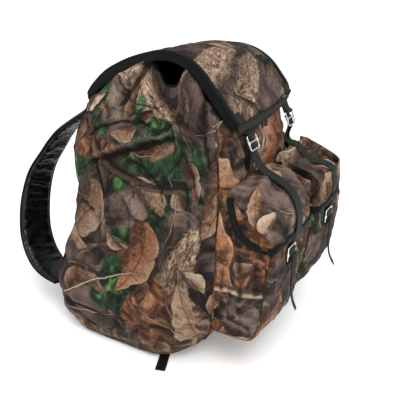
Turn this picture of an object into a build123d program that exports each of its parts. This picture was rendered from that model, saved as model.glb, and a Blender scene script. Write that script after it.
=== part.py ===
from build123d import *
import math
import os

os.makedirs("parts", exist_ok=True)

# A soft, square-bottomed hunting backpack standing on the floor.
# Frame: +Z up, floor at z = 0, the two front pockets face -Y, the wearer's
# back is against the +Y side.  Left and right are the wearer's: left is -X.
# The origin is the middle of the flat bottom.  Millimetres.

# ---------------------------------------------------------------- dimensions
WALL = 3.0  # body fabric, lining and seam allowance taken as one skin
SHELL_TOP = 480.0  # where the stiff sack ends and the gathered throat starts
TRAY = 12.0  # height of the bottom panel's turned-up rim
AXIS_Y = 42.0  # middle of the sack, where the four seams' planes meet
SEAM_SLOPE = 0.93  # direction of those planes, y over x

LID_HALF = 131.0  # half the lid's width
LID_T = 4.0
LID_BIND = 7.0  # width of the edge binding
LID_HINGE = (191.0, 484.0)  # y, z of the seam the lid folds on
LID_OPEN = 120.0

POCKET_IN, POCKET_OUT = 18.0, 190.0  # a pocket's inner and outer side, |x|
POCKET_TOP_OUT = 181.0  # the outer side at the top
POCKET_Z0 = 108.0
POCKET_WALL = 3.0
FLAP_IN, FLAP_OUT = 12.0, 196.0
FLAP_T = 3.0
FLAP_HINGE = (-151.5, 394.0)
FLAP_OPEN = 70.0

WEB = 26.0  # webbing width
WEB_T = 1.8
STRAP_X = 100.0  # centre line of the front straps and buckles, |x|

WIRE_R = 1.4  # nickel wire of the buckles
BUCKLE_W, BUCKLE_H = 33.0, 27.0  # wire centre to wire centre
BAR_R = 1.3
KNUCKLE_R, KNUCKLE_BORE = 2.7, 1.62
# lid buckles: y, z of the middle, and degrees from upright, top towards the pack;
# the left one is drawn up tight by its strap
LID_BUCKLES = {"left": ((-148.5, 453.5), -26.0), "right": ((-138.5, 447.3), -24.0)}
POCKET_BUCKLE_C = (-242.5, 262.0)

STRAP_W, STRAP_T = 72.0, 13.0  # padded shoulder straps

TAIL_W, TAIL_T = 20.0, 2.2  # lash strap under the bottom

# sack sections: z, half width, front y, back y, corner radius
SACK = [
    (0, 191, -45, 170, 70),
    (12, 200, -61, 197, 60),
    (30, 208, -80, 213, 60),
    (60, 219, -109, 227, 74),
    (110, 222, -140, 229, 66),
    (180, 214, -147, 210, 58),
    (260, 208, -147, 191, 56),
    (320, 200, -147, 190, 50),
    (390, 186, -146, 202, 46),
    (425, 176, -141, 201, 48),
    (450, 168, -131, 197, 52),
    (SHELL_TOP, 157, -114, 190, 54),
]
# gathered throat, drawn in over the load under the lid
THROAT = [
    (SHELL_TOP, 157, -114, 190, 54),
    (487, 153, -106, 176, 52),
    (503, 145, -88, 165, 50),
    (522, 136, -68, 148, 48),
    (544, 124, -44, 122, 44),
]
HEM = [(544, 124, -44, 122, 44), (556, 123, -43, 121, 44)]

# lid cross-section, outer side, from the hinge over the crest to the front
LID_OUT = [
    (189, 486),
    (174, 518),
    (151, 546),
    (122, 568),
    (90, 583),
    (55, 592),
    (20, 596),
    (-10, 588),
    (-35, 572),
    (-60, 552),
    (-80, 532),
    (-98, 514),
    (-114, 499),
    (-127, 484),
]
LID_TAPE = [(-127, 484), (-133.5, 464)]

# pocket front: z and y
POCKET_FRONT = [(108, -208), (122, -222), (160, -231), (210, -234), (270, -236), (330, -236), (392, -230)]
# flap cross-section, outer side, hinge to front hem, then back along its side hem
FLAP_OUTLINE = [
    (-151.5, 394),
    (-162, 398.5),
    (-180, 399),
    (-202, 393),
    (-225, 380),
    (-242, 360),
    (-249, 338),
    (-250, 318),
    (-247, 300),
]
FLAP_HEM = [(-220, 299), (-195, 303), (-176, 313), (-161, 341), (-154, 372)]

# shoulder strap centre line, left side
SHOULDER = [
    (-75, 204, 463),
    (-75, 209, 449),
    (-76, 222, 437),
    (-79, 250, 420),
    (-85, 289, 388),
    (-95, 318, 338),
    (-105, 336, 294),
    (-112, 344, 243),
    (-120, 345, 193),
    (-128, 337, 150),
    (-138, 315, 115),
    (-150, 281, 95),
    (-158, 250, 90),
    (-163, 222, 90),
]


# ------------------------------------------------------------------- helpers
def save(shape, node):
    solids = shape.solids()
    out = solids[0] if len(solids) == 1 else Compound(children=list(solids))
    out.label = node
    export_step(out, f"parts/{node}.step")


def section(z, hx, yf, yb, r):
    face = Pos(0, (yf + yb) / 2, z) * RectangleRounded(2 * hx, yb - yf, r)
    return face.face()


def sack_solid(rows, inset=0.0, dz0=0.0, dz1=0.0):
    rows = [list(r) for r in rows]
    secs = []
    for i, (z, hx, yf, yb, r) in enumerate(rows):
        z = z + (dz0 if i == 0 else 0) + (dz1 if i == len(rows) - 1 else 0)
        secs.append(section(z, hx - inset, yf + inset, yb - inset, max(r - inset, 5)))
    return loft(secs, ruled=True)


def at(rows, z):
    """Interpolated section row at height z."""
    for a, b in zip(rows, rows[1:]):
        if a[0] <= z <= b[0]:
            k = (z - a[0]) / (b[0] - a[0])
            return tuple(p + (q - p) * k for p, q in zip(a, b))
    raise ValueError(z)


def prism_yz(points, x0, x1):
    face = Plane.YZ.offset(x0) * make_face(Polyline(*points, close=True))
    return extrude(face, amount=x1 - x0, dir=(1, 0, 0))


def offset_line(points, t):
    """The polyline moved t to the right of its direction of travel, mitred."""
    out = []
    n = len(points)
    for i in range(n):
        dirs = []
        if i > 0:
            dirs.append((points[i][0] - points[i - 1][0], points[i][1] - points[i - 1][1]))
        if i < n - 1:
            dirs.append((points[i + 1][0] - points[i][0], points[i + 1][1] - points[i][1]))
        norms = []
        for dx, dy in dirs:
            length = math.hypot(dx, dy)
            norms.append((dy / length, -dx / length))
        nx = sum(v[0] for v in norms)
        ny = sum(v[1] for v in norms)
        length = math.hypot(nx, ny)
        nx, ny = nx / length, ny / length
        k = t / (nx * norms[0][0] + ny * norms[0][1])
        out.append((points[i][0] + nx * k, points[i][1] + ny * k))
    return out


def band(points, t):
    return list(points) + list(reversed(offset_line(points, t)))


def wedge(direction):
    """A quarter of the plan, bounded by two of the seams' planes."""
    big = 600
    fl = (-big, AXIS_Y - big * SEAM_SLOPE)
    fr = (big, AXIS_Y - big * SEAM_SLOPE)
    bl = (-big, AXIS_Y + big * SEAM_SLOPE)
    br = (big, AXIS_Y + big * SEAM_SLOPE)
    pair = {"front": (fl, fr), "back": (br, bl), "left": (bl, fl), "right": (fr, br)}[direction]
    face = Pos(0, 0, TRAY) * make_face(Polyline((0, AXIS_Y), *pair, close=True))
    return extrude(face, amount=SHELL_TOP - TRAY, dir=(0, 0, 1))


def wire_frame(w, h, r_corner=4.0):
    """Closed rectangle of round wire in the XZ plane, centred on the origin."""
    path = RectangleRounded(w, h, r_corner).wire()
    start = Plane(origin=path @ 0, z_dir=path % 0)
    ring = sweep(sections=start * Circle(WIRE_R), path=path)
    return Rot(90, 0, 0) * ring


def crossbar(w):
    """Loose bar with an eye round each side of the frame, along X."""
    bar = Rot(0, 90, 0) * Cylinder(BAR_R, w - 2 * (KNUCKLE_BORE + 0.4))
    for side in (-1, 1):
        bar = bar + Pos(side * w / 2, 0, 0) * Cylinder(KNUCKLE_R, 6.5)
    for side in (-1, 1):
        bar = bar - Pos(side * w / 2, 0, 0) * Cylinder(KNUCKLE_BORE, 20)
    return bar


def ribbon(points, width, thick, lift=0.0):
    """Strap of rectangular section along a line, its width along X."""
    secs = []
    n = len(points)
    for i, (x, y, z) in enumerate(points):
        a = points[max(i - 1, 0)]
        b = points[min(i + 1, n - 1)]
        ty, tz = b[1] - a[1], b[2] - a[2]
        length = math.hypot(ty, tz)
        ty, tz = ty / length, tz / length
        # outward normal, away from the pack
        ny, nz = -tz, ty
        plane = Plane(origin=(x, y + ny * lift, z + nz * lift), x_dir=(1, 0, 0), z_dir=(0, ty, tz))
        secs.append((plane * Rectangle(width, thick)).face())
    return loft(secs, ruled=True)


def mirrored(shape):
    return mirror(shape, about=Plane.YZ)


# ---------------------------------------------------------------------- sack
outer = sack_solid(SACK)
inner = sack_solid([(WALL, *SACK[0][1:])] + SACK[1:], inset=WALL, dz1=1.0)
shell = outer - inner

tray_box = Pos(0, 40, TRAY / 2) * Box(700, 700, TRAY)
save(shell & tray_box, "bottom_panel")
save(shell & wedge("front"), "front_panel")
save(shell & wedge("back"), "back_panel")
save(shell & wedge("left"), "side_panel_left")
save(shell & wedge("right"), "side_panel_right")

# foam pad between the back panel and its lining
pad_out = []
for z in (60, 110, 180, 260, 320, 390, 440):
    row = at(SACK, z)
    pad_out.append((row[3] - WALL - 0.3, z))
pad = prism_yz(band(pad_out, -6.0), -115, 115)
save(pad, "back_foam")

# gathered throat and its hem
throat = sack_solid(THROAT) - sack_solid(THROAT, inset=2.5, dz0=-1.0, dz1=1.0)
save(throat, "throat_skirt")
hem = sack_solid(HEM) - sack_solid(HEM, inset=4.5, dz0=-1.0, dz1=1.0)
# eyelets let the closing cord into the hem at the front and the back
eyelets = []
for x in (-14, 14):
    for side, y0 in ((-1, HEM[0][2]), (1, HEM[0][3])):
        centre = Pos(x, y0, 550) * Rot(90, 0, 0)
        hem = hem - centre * Cylinder(3.0, 24)
        ring = centre * (Cylinder(4.4, 1.2) - Cylinder(2.9, 4))
        eyelets.append(Pos(0, side * 1.1, 0) * ring)
save(hem, "throat_hem")
save(Compound(children=[s for e in eyelets for s in e.solids()]), "throat_eyelets")

# ----------------------------------------------------------------------- lid
lid_band = list(LID_OUT) + list(reversed(offset_line(LID_OUT, -LID_T)))
lid_panel = prism_yz(lid_band, -(LID_HALF - LID_BIND), LID_HALF - LID_BIND)
save(lid_panel, "lid_panel")
bind_out = offset_line(LID_OUT, 1.0)
bind_in = offset_line(LID_OUT, -LID_T - 1.0)
binding = prism_yz(list(bind_out) + list(reversed(bind_in)), -LID_HALF, -(LID_HALF - LID_BIND))
save(binding, "lid_binding_left")
save(mirrored(binding), "lid_binding_right")
lid_tape = prism_yz(band(LID_TAPE, -LID_T), -LID_HALF, LID_HALF) - lid_panel - binding - mirrored(binding)
save(lid_tape, "lid_front_tape")

# buckles hang from tabs sewn inside the lid's front tape
frame = wire_frame(BUCKLE_W, BUCKLE_H)
bar = crossbar(BUCKLE_W)
top_local = BUCKLE_H / 2
behind = 3.3  # front strap, behind the plane of its buckle
for side, (centre, degrees) in LID_BUCKLES.items():
    keep = (lambda shape: shape) if side == "left" else mirrored
    ct, st = math.cos(math.radians(-degrees)), math.sin(math.radians(-degrees))
    lid_spot = Pos(-STRAP_X, *centre) * Rot(degrees, 0, 0)
    top_bar = (centre[0] + st * top_local, centre[1] + ct * top_local)
    if side == "left":
        root = [(-133.2, 464.2), (-131.6, 469.2)]
        end = [(top_bar[0] + 0.6, top_bar[1] + 3.2), (top_bar[0] + 0.2, top_bar[1] - 3.2)]
    else:
        root = [(-133.3, 463.8), (-129.6, 465.0)]
        end = [(top_bar[0] + 3.1, top_bar[1] + 1.0), (top_bar[0] - 3.1, top_bar[1] + 1.0)]
    tab = prism_yz(root + end, -STRAP_X - WEB / 2, -STRAP_X + WEB / 2)
    tab = tab + Pos(-STRAP_X, *top_bar) * Rot(0, 90, 0) * Cylinder(3.3, WEB)
    tab = tab - Pos(-STRAP_X, *top_bar) * Rot(0, 90, 0) * Cylinder(WIRE_R + 0.3, 60) - lid_tape
    save(keep(tab), f"lid_tab_{side}")
    save(keep(lid_spot * frame), f"lid_buckle_{side}")
    save(keep(lid_spot * Pos(0, 0, 1.0) * bar), f"lid_crossbar_{side}")

    # front strap: up the pack's front from the flap seam to behind the lid buckle
    def lid_local(up, back):
        """y, z of a point in the lid buckle's plane, up along it and back from it."""
        return (centre[0] + st * up + ct * back, centre[1] + ct * up - st * back)

    front_line = [lid_local(7.0, behind), lid_local(-12.0, behind), (-147.4, 424.5), (-145.2, 413.0)]
    front_strap = prism_yz(band(front_line, -WEB_T), -STRAP_X - WEB / 2, -STRAP_X + WEB / 2) - outer
    save(keep(front_strap), f"front_strap_{side}")

# ------------------------------------------------------------------- pockets
pocket_side = [(-60, POCKET_Z0)] + [(y, z) for z, y in POCKET_FRONT] + [(-60, 392)]
# the mouth slopes down to the front under the flap
mouth = [(-60, 392), (-148, 388), (-238, 350), (-320, 350), (-320, 460), (-60, 460)]


def pocket_block(inset):
    if inset == 0:
        pts = pocket_side
    else:
        front = [(z, y + inset) for z, y in POCKET_FRONT]
        front[0] = (POCKET_Z0 + inset, POCKET_FRONT[0][1] + inset + 1.0)
        front[-1] = (400, POCKET_FRONT[-1][1] + inset)
        pts = [(-60, POCKET_Z0 + inset)] + [(y, z) for z, y in front] + [(-60, 400)]
    block = prism_yz(pts, -(POCKET_OUT - inset), -(POCKET_IN + inset))
    # the outer side leans in towards the top, following the sack
    lean = Plane.XZ.offset(-100) * make_face(
        Polyline(
            (-(POCKET_OUT - inset), 60),
            (-(POCKET_OUT - inset), 270),
            (-(POCKET_TOP_OUT - inset), 410),
            (0, 410),
            (0, 60),
            close=True,
        )
    )
    return block & extrude(lean, amount=400, dir=(0, -1, 0))


def round_front(block, inset):
    """Round the two upright front corners of a pocket."""
    x0, x1 = -(POCKET_OUT - inset), -(POCKET_IN + inset)
    face = make_face(
        Polyline(
            (x0, 0),
            (x0, -214),
            (x0 + 5, -226),
            (x0 + 14, -234),
            (x0 + 26, -240 + inset),
            (x1 - 26, -240 + inset),
            (x1 - 14, -234),
            (x1 - 5, -226),
            (x1, -214),
            (x1, 0),
            close=True,
        )
    )
    return block & extrude(Pos(0, 0, 60) * face, amount=400, dir=(0, 0, 1))


pocket_outer = round_front(pocket_block(0), 0)
pocket_inner = round_front(pocket_block(POCKET_WALL), POCKET_WALL)
pocket = pocket_outer - pocket_inner - outer - prism_yz(mouth, -260, 0)
split_y = -205.0
front_half = Pos(-104, split_y - 100, 250) * Box(400, 200, 500)
pocket_front = pocket & front_half
pocket_gusset = pocket - front_half
save(pocket_front, "pocket_front_left")
save(mirrored(pocket_front), "pocket_front_right")
save(pocket_gusset, "pocket_gusset_left")
save(mirrored(pocket_gusset), "pocket_gusset_right")

# ---------------------------------------------------------------- pocket flaps
flap_region = FLAP_OUTLINE + FLAP_HEM
flap_block = prism_yz(flap_region, -FLAP_OUT, -FLAP_IN)
inner_top = offset_line(FLAP_OUTLINE, -FLAP_T)
inner_region = [(-149.5, inner_top[0][1] - 0.6)] + inner_top[1:-1] + [(inner_top[-1][0], 280), (-140, 280)]
flap_void = prism_yz(inner_region, -(FLAP_OUT - FLAP_T), -(FLAP_IN + FLAP_T))
flap = flap_block - flap_void
save(flap, "pocket_flap_left")
save(mirrored(flap), "pocket_flap_right")

# binding tape round the flap's lower edge, outside the fabric
hem_line = [FLAP_OUTLINE[-1]] + FLAP_HEM
tape_in = offset_line(hem_line, -9.0)
side_tape = prism_yz(
    hem_line + list(reversed(tape_in)), -(FLAP_OUT + 0.9), -FLAP_OUT
) + prism_yz(hem_line + list(reversed(tape_in)), -FLAP_IN, -(FLAP_IN - 0.9))
front_tape_line = [(-248.4, 309), (-247, 300)]
front_tape = prism_yz(band(front_tape_line, 1.0), -(FLAP_OUT + 0.9), -(FLAP_IN - 0.9))
flap_tape = (side_tape + front_tape) - flap
save(flap_tape, "flap_binding_left")
save(mirrored(flap_tape), "flap_binding_right")

# webbing over the flap, down in front of the pocket buckle, with its loose tail
flap_line = [
    (-164.5, 399.0),
    (-180.3, 399.4),
    (-202.6, 394.2),
    (-226.0, 380.9),
    (-243.1, 360.7),
    (-250.3, 338.2),
    (-251.4, 318),
    (-250.6, 306),
    (-249.0, 290),
    (-246.4, 275),
    (-246.4, 246),
    (-247.5, 222),
    (-250.0, 190),
    (-253.0, 160),
]
flap_strap = prism_yz(band(flap_line, WEB_T), -STRAP_X - WEB / 2, -STRAP_X + WEB / 2)
save(flap_strap, "flap_strap_left")
save(mirrored(flap_strap), "flap_strap_right")

# pocket buckle in a loop sewn to the pocket's front
pocket_spot = Pos(-STRAP_X, *POCKET_BUCKLE_C)
pocket_frame = pocket_spot * frame
pocket_bar = pocket_spot * Pos(0, 0, 0.5) * bar
save(pocket_frame, "pocket_buckle_left")
save(mirrored(pocket_frame), "pocket_buckle_right")
save(pocket_bar, "pocket_crossbar_left")
save(mirrored(pocket_bar), "pocket_crossbar_right")
low_bar_z = POCKET_BUCKLE_C[1] - BUCKLE_H / 2
loop_face = -235.8
loop = prism_yz(
    [
        (loop_face, low_bar_z + 3.6),
        (loop_face, 205.0),
        (-237.6, 205.0),
        (-238.6, 236.0),
        (-243.8, low_bar_z - 3.6),
        (-245.2, low_bar_z - 1.2),
        (-245.2, low_bar_z + 1.2),
        (-243.8, low_bar_z + 3.0),
        (-240.0, low_bar_z + 3.6),
    ],
    -STRAP_X - WEB / 2,
    -STRAP_X + WEB / 2,
)
loop = loop - pocket_outer
loop = loop - Pos(-STRAP_X, POCKET_BUCKLE_C[0], low_bar_z) * Rot(0, 90, 0) * Cylinder(WIRE_R + 0.3, 60)
save(loop, "pocket_buckle_loop_left")
save(mirrored(loop), "pocket_buckle_loop_right")

# ------------------------------------------------------------ shoulder straps
strap = ribbon(SHOULDER, STRAP_W, STRAP_T) - outer
save(strap, "shoulder_strap_left")
save(mirrored(strap), "shoulder_strap_right")

web_lift = STRAP_T / 2 + 0.2 + WEB_T / 2
webbing = ribbon(SHOULDER[7:], WEB, WEB_T, lift=web_lift) - outer
save(webbing, "strap_webbing_left")
save(mirrored(webbing), "strap_webbing_right")
adj_i = 10
ax, ay, az = SHOULDER[adj_i]
ta = (SHOULDER[adj_i + 1][1] - SHOULDER[adj_i - 1][1], SHOULDER[adj_i + 1][2] - SHOULDER[adj_i - 1][2])
tl = math.hypot(*ta)
na = (-ta[1] / tl, ta[0] / tl)
lift = STRAP_T / 2 + 0.2 + WEB_T + 2.6
turn = math.degrees(math.atan2(ta[1], ta[0])) - 90
adjuster = Pos(ax, ay + na[0] * lift, az + na[1] * lift) * Rot(turn, 0, 0) * frame
save(adjuster, "strap_adjuster_left")
save(mirrored(adjuster), "strap_adjuster_right")

# carrying handle sewn between the shoulder straps
arch = [(-36, 199.5), (-30, 206), (-20, 216), (-8, 221.5), (8, 221.5), (20, 216), (30, 206), (36, 199.5)]
haul_face = Pos(0, 0, 442) * make_face(Polyline(*band(arch, 2.4), close=True))
haul = extrude(haul_face, amount=24, dir=(0, 0, 1)) - outer
save(haul, "haul_loop")
# stitched reinforcement patch behind the straps' and the handle's upper ends
patch_line = []
for z in (425, 450, 472):
    patch_line.append((at(SACK, z)[3] + 0.05, z))
patch = prism_yz(band(patch_line, 1.6), -116, 116)
patch = patch - outer - ribbon(SHOULDER, STRAP_W, STRAP_T) - mirrored(ribbon(SHOULDER, STRAP_W, STRAP_T)) - haul
save(patch, "strap_patch")

# ------------------------------------------------------------- lash straps
tail = Pos(-195, -37, TAIL_T / 2) * Rot(0, 0, 19.4) * Box(72, TAIL_W, TAIL_T) - outer
save(tail, "lash_strap_left")
save(mirrored(tail), "lash_strap_right")
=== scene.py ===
import math
import bpy
import bmesh
import numpy as np
from mathutils import Matrix, Vector


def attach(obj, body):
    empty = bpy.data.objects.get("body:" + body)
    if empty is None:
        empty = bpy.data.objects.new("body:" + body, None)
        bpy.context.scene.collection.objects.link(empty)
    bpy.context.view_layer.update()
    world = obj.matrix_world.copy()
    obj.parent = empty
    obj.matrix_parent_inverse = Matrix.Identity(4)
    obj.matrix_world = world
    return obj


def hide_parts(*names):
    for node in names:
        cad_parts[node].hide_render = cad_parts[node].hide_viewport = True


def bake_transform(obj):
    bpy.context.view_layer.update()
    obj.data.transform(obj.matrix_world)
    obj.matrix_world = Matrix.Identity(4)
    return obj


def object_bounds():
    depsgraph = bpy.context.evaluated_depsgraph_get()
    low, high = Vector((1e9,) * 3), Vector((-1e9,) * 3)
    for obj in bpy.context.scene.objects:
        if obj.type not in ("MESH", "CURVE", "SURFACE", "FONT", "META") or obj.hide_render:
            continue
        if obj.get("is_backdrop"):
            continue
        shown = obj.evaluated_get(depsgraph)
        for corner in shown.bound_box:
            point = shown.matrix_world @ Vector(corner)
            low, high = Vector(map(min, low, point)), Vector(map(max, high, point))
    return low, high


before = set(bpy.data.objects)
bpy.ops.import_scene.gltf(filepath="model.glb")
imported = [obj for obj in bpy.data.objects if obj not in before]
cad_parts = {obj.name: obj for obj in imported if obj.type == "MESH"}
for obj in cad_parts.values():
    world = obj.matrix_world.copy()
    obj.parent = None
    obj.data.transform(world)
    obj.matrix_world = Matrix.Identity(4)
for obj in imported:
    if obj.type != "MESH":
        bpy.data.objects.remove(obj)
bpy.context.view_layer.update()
SCENE = bpy.context.scene

MM = 0.001
HALF_PI = math.pi / 2


# ===================================================================== maths
def pchip(xs, ys, x):
    """Monotone cubic interpolation, vectorised."""
    xs, ys = np.asarray(xs, float), np.asarray(ys, float)
    x = np.clip(np.asarray(x, float), xs[0], xs[-1])
    h = np.diff(xs)
    d = np.diff(ys) / h
    m = np.zeros_like(ys)
    for i in range(1, len(xs) - 1):
        if d[i - 1] * d[i] > 0:
            w1, w2 = 2 * h[i] + h[i - 1], h[i] + 2 * h[i - 1]
            m[i] = (w1 + w2) / (w1 / d[i - 1] + w2 / d[i])
    m[0], m[-1] = d[0], d[-1]
    i = np.clip(np.searchsorted(xs, x) - 1, 0, len(xs) - 2)
    t = (x - xs[i]) / h[i]
    return (
        ys[i] * (2 * t**3 - 3 * t**2 + 1)
        + h[i] * m[i] * (t**3 - 2 * t**2 + t)
        + ys[i + 1] * (-2 * t**3 + 3 * t**2)
        + h[i] * m[i + 1] * (t**3 - t**2)
    )


def smooth_path(points, n):
    """n points evenly spaced along a smooth curve through the given ones."""
    p = np.asarray(points, float)
    s = np.r_[0, np.cumsum(np.linalg.norm(np.diff(p, axis=0), axis=1))]
    fine = np.linspace(0, s[-1], 600)
    q = np.stack([catmull(s, p[:, k], fine) for k in range(p.shape[1])], 1)
    a = np.r_[0, np.cumsum(np.linalg.norm(np.diff(q, axis=0), axis=1))]
    want = np.linspace(0, a[-1], n)
    return np.stack([np.interp(want, a, q[:, k]) for k in range(p.shape[1])], 1)


def catmull(xs, ys, x):
    """Cubic Hermite with centred tangents."""
    xs, ys = np.asarray(xs, float), np.asarray(ys, float)
    m = np.gradient(ys, xs)
    i = np.clip(np.searchsorted(xs, x) - 1, 0, len(xs) - 2)
    h = xs[i + 1] - xs[i]
    t = (x - xs[i]) / h
    return (
        ys[i] * (2 * t**3 - 3 * t**2 + 1)
        + h * m[i] * (t**3 - 2 * t**2 + t)
        + ys[i + 1] * (-2 * t**3 + 3 * t**2)
        + h * m[i + 1] * (t**3 - t**2)
    )


def smoothstep(a, b, x):
    t = np.clip((np.asarray(x, float) - a) / (b - a), 0, 1)
    return t * t * (3 - 2 * t)


def hash3(i, j, k, seed):
    n = (i * 374761393 + j * 668265263 + k * 2147483647 + seed * 1274126177) & 0xFFFFFFFF
    n = ((n ^ (n >> 13)) * 1274126177) & 0xFFFFFFFF
    n = ((n ^ (n >> 16)) * 2246822519) & 0xFFFFFFFF
    return ((n ^ (n >> 15)) & 0xFFFFFF) / float(0xFFFFFF)


def noise3(x, y, z, seed=0):
    """Smooth value noise, -1 to 1."""
    x, y, z = np.broadcast_arrays(np.asarray(x, float), np.asarray(y, float), np.asarray(z, float))
    xi, yi, zi = np.floor(x).astype(np.int64), np.floor(y).astype(np.int64), np.floor(z).astype(np.int64)
    xf, yf, zf = x - xi, y - yi, z - zi
    u, v, w = (f * f * f * (f * (f * 6 - 15) + 10) for f in (xf, yf, zf))
    total = 0
    for a in (0, 1):
        for b in (0, 1):
            for c in (0, 1):
                k = (u if a else 1 - u) * (v if b else 1 - v) * (w if c else 1 - w)
                total = total + k * hash3(xi + a, yi + b, zi + c, seed)
    return total * 2 - 1


def fbm(x, y, z, seed=0, octaves=3):
    total, amp = 0, 1.0
    for o in range(octaves):
        total = total + amp * noise3(x * 2**o, y * 2**o, z * 2**o, seed + 17 * o)
        amp *= 0.5
    return total / 1.75


def along(a, b, pts):
    """Signed distance to a polyline in the (a, b) plane, positive on its left, and the share of its length reached."""
    p = np.asarray(pts, float)
    best = np.full(np.shape(a), 1e9)
    sign = np.ones(np.shape(a))
    share = np.zeros(np.shape(a))
    seg = np.linalg.norm(np.diff(p, axis=0), axis=1)
    start = np.r_[0, np.cumsum(seg)]
    for i in range(len(p) - 1):
        d = p[i + 1] - p[i]
        t = np.clip(((a - p[i, 0]) * d[0] + (b - p[i, 1]) * d[1]) / (d @ d), 0, 1)
        qa, qb = a - (p[i, 0] + t * d[0]), b - (p[i, 1] + t * d[1])
        dist = np.hypot(qa, qb)
        hit = dist < best
        best = np.where(hit, dist, best)
        sign = np.where(hit, np.sign(d[0] * qb - d[1] * qa + 1e-12), sign)
        share = np.where(hit, (start[i] + t * seg[i]) / start[-1], share)
    return best * sign, share


def fade(share, lead=0.15, tail=0.15):
    return smoothstep(0, lead, share) * (1 - smoothstep(1 - tail, 1, share)) if lead and tail else 1


# ================================================================ mesh makers
def mesh_object(name, verts, faces, uv=None, uv_loops=None, smooth=True):
    """A mesh object from vertices in mm. uv is one pair per vertex, in metres of cloth."""
    me = bpy.data.meshes.new(name)
    me.from_pydata([tuple(v) for v in np.asarray(verts, float) * MM], [], faces)
    me.validate()
    if uv is not None:
        layer = me.uv_layers.new(name="cloth")
        idx = np.zeros(len(me.loops), np.int64)
        me.loops.foreach_get("vertex_index", idx)
        layer.data.foreach_set("uv", np.asarray(uv, np.float32)[idx].ravel())
    if smooth:
        me.polygons.foreach_set("use_smooth", [True] * len(me.polygons))
    me.update()
    o = bpy.data.objects.new(name, me)
    SCENE.collection.objects.link(o)
    return o


def grid_faces(m, n, closed=False, flip=False):
    faces = []
    for i in range(m - 1):
        for j in range(n if closed else n - 1):
            a, b = i * n + j, i * n + (j + 1) % n
            c, d = (i + 1) * n + (j + 1) % n, (i + 1) * n + j
            faces.append((a, d, c, b) if flip else (a, b, c, d))
    return faces


def blur(A, k, closed=False):
    """Box blur of a grid over k steps each way, edges held."""
    for axis in (0, 1):
        wrap = closed and axis == 1
        pad = [(0, 0)] * A.ndim
        pad[axis] = (k, k)
        B = np.pad(A, pad, mode="wrap" if wrap else "edge")
        c = np.cumsum(B, axis=axis)
        zero = np.zeros_like(np.take(c, [0], axis=axis))
        c = np.concatenate([zero, c], axis=axis)
        w = 2 * k + 1
        hi = np.take(c, range(w, c.shape[axis]), axis=axis)
        lo = np.take(c, range(0, c.shape[axis] - w), axis=axis)
        A = (hi - lo) / w
    return A


def hollows(P, reach=9.0, closed=False):
    """How far each point of a grid lies under its surroundings (+) or stands over them (-), in mm."""
    step = max(np.linalg.norm(np.diff(P, axis=0), axis=2).mean(), np.linalg.norm(np.diff(P, axis=1), axis=2).mean())
    k = max(1, int(round(reach / step)))
    mean = blur(blur(P, k, closed), max(1, k // 2), closed)
    H = ((mean - P) * grid_normals(P, closed)).sum(2)
    m, n = H.shape
    e = np.minimum(np.arange(m), np.arange(m)[::-1])[:, None] / (1.5 * k + 1)
    if not closed:
        e = np.minimum(e, np.minimum(np.arange(n), np.arange(n)[::-1])[None, :] / (1.5 * k + 1))
    return H * np.clip(e, 0, 1)


def grid_object(name, P, UV, closed=False, flip=False, thick=0.0, offset=-1.0, lining=False, outward=None):
    """A cloth sheet from an (m, n, 3) grid in mm, given a real thickness."""
    m, n = P.shape[:2]
    o = mesh_object(name, P.reshape(-1, 3), grid_faces(m, n, closed, flip), UV.reshape(-1, 2) * MM)
    if m > 8 and n > 8:
        # hollow depth, kept as the cavity attribute: the cloth materials use it for painted shade in the hollows and a
        # painted highlight on the raised folds
        H = hollows(P, 9.0, closed) * (-1 if flip else 1)
        at = o.data.attributes.new("cavity", "FLOAT", "POINT")
        at.data.foreach_set("value", np.clip(H / 4.0, -1, 1).astype(np.float32).ravel())
    if thick:
        solid(o, thick, offset)
    return o


def solid(o, thick, offset=-1.0):
    mod = o.modifiers.new("thickness", "SOLIDIFY")
    mod.thickness = thick * MM
    mod.offset = offset
    mod.use_even_offset = False
    return mod


def grid_normals(P, closed=False):
    if closed:
        du = np.roll(P, -1, axis=1) - np.roll(P, 1, axis=1)
    else:
        du = np.gradient(P, axis=1)
    dv = np.gradient(P, axis=0)
    n = np.cross(du, dv)
    length = np.linalg.norm(n, axis=2, keepdims=True)
    return n / np.maximum(length, 1e-9)


def arc_uv(P, ref_row=None):
    """Cloth coordinates of a grid, in mm: along the rows at the reference row, and up the columns."""
    m, n = P.shape[:2]
    r = m // 3 if ref_row is None else ref_row
    du = np.linalg.norm(np.diff(P[r], axis=0), axis=1)
    u = np.r_[0, np.cumsum(du)]
    u = u - u[-1] / 2
    dv = np.linalg.norm(np.diff(P, axis=0), axis=2).mean(axis=1)
    v = np.r_[0, np.cumsum(dv)]
    return np.stack(np.broadcast_arrays(u[None, :], v[:, None]), -1).astype(float)


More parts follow.
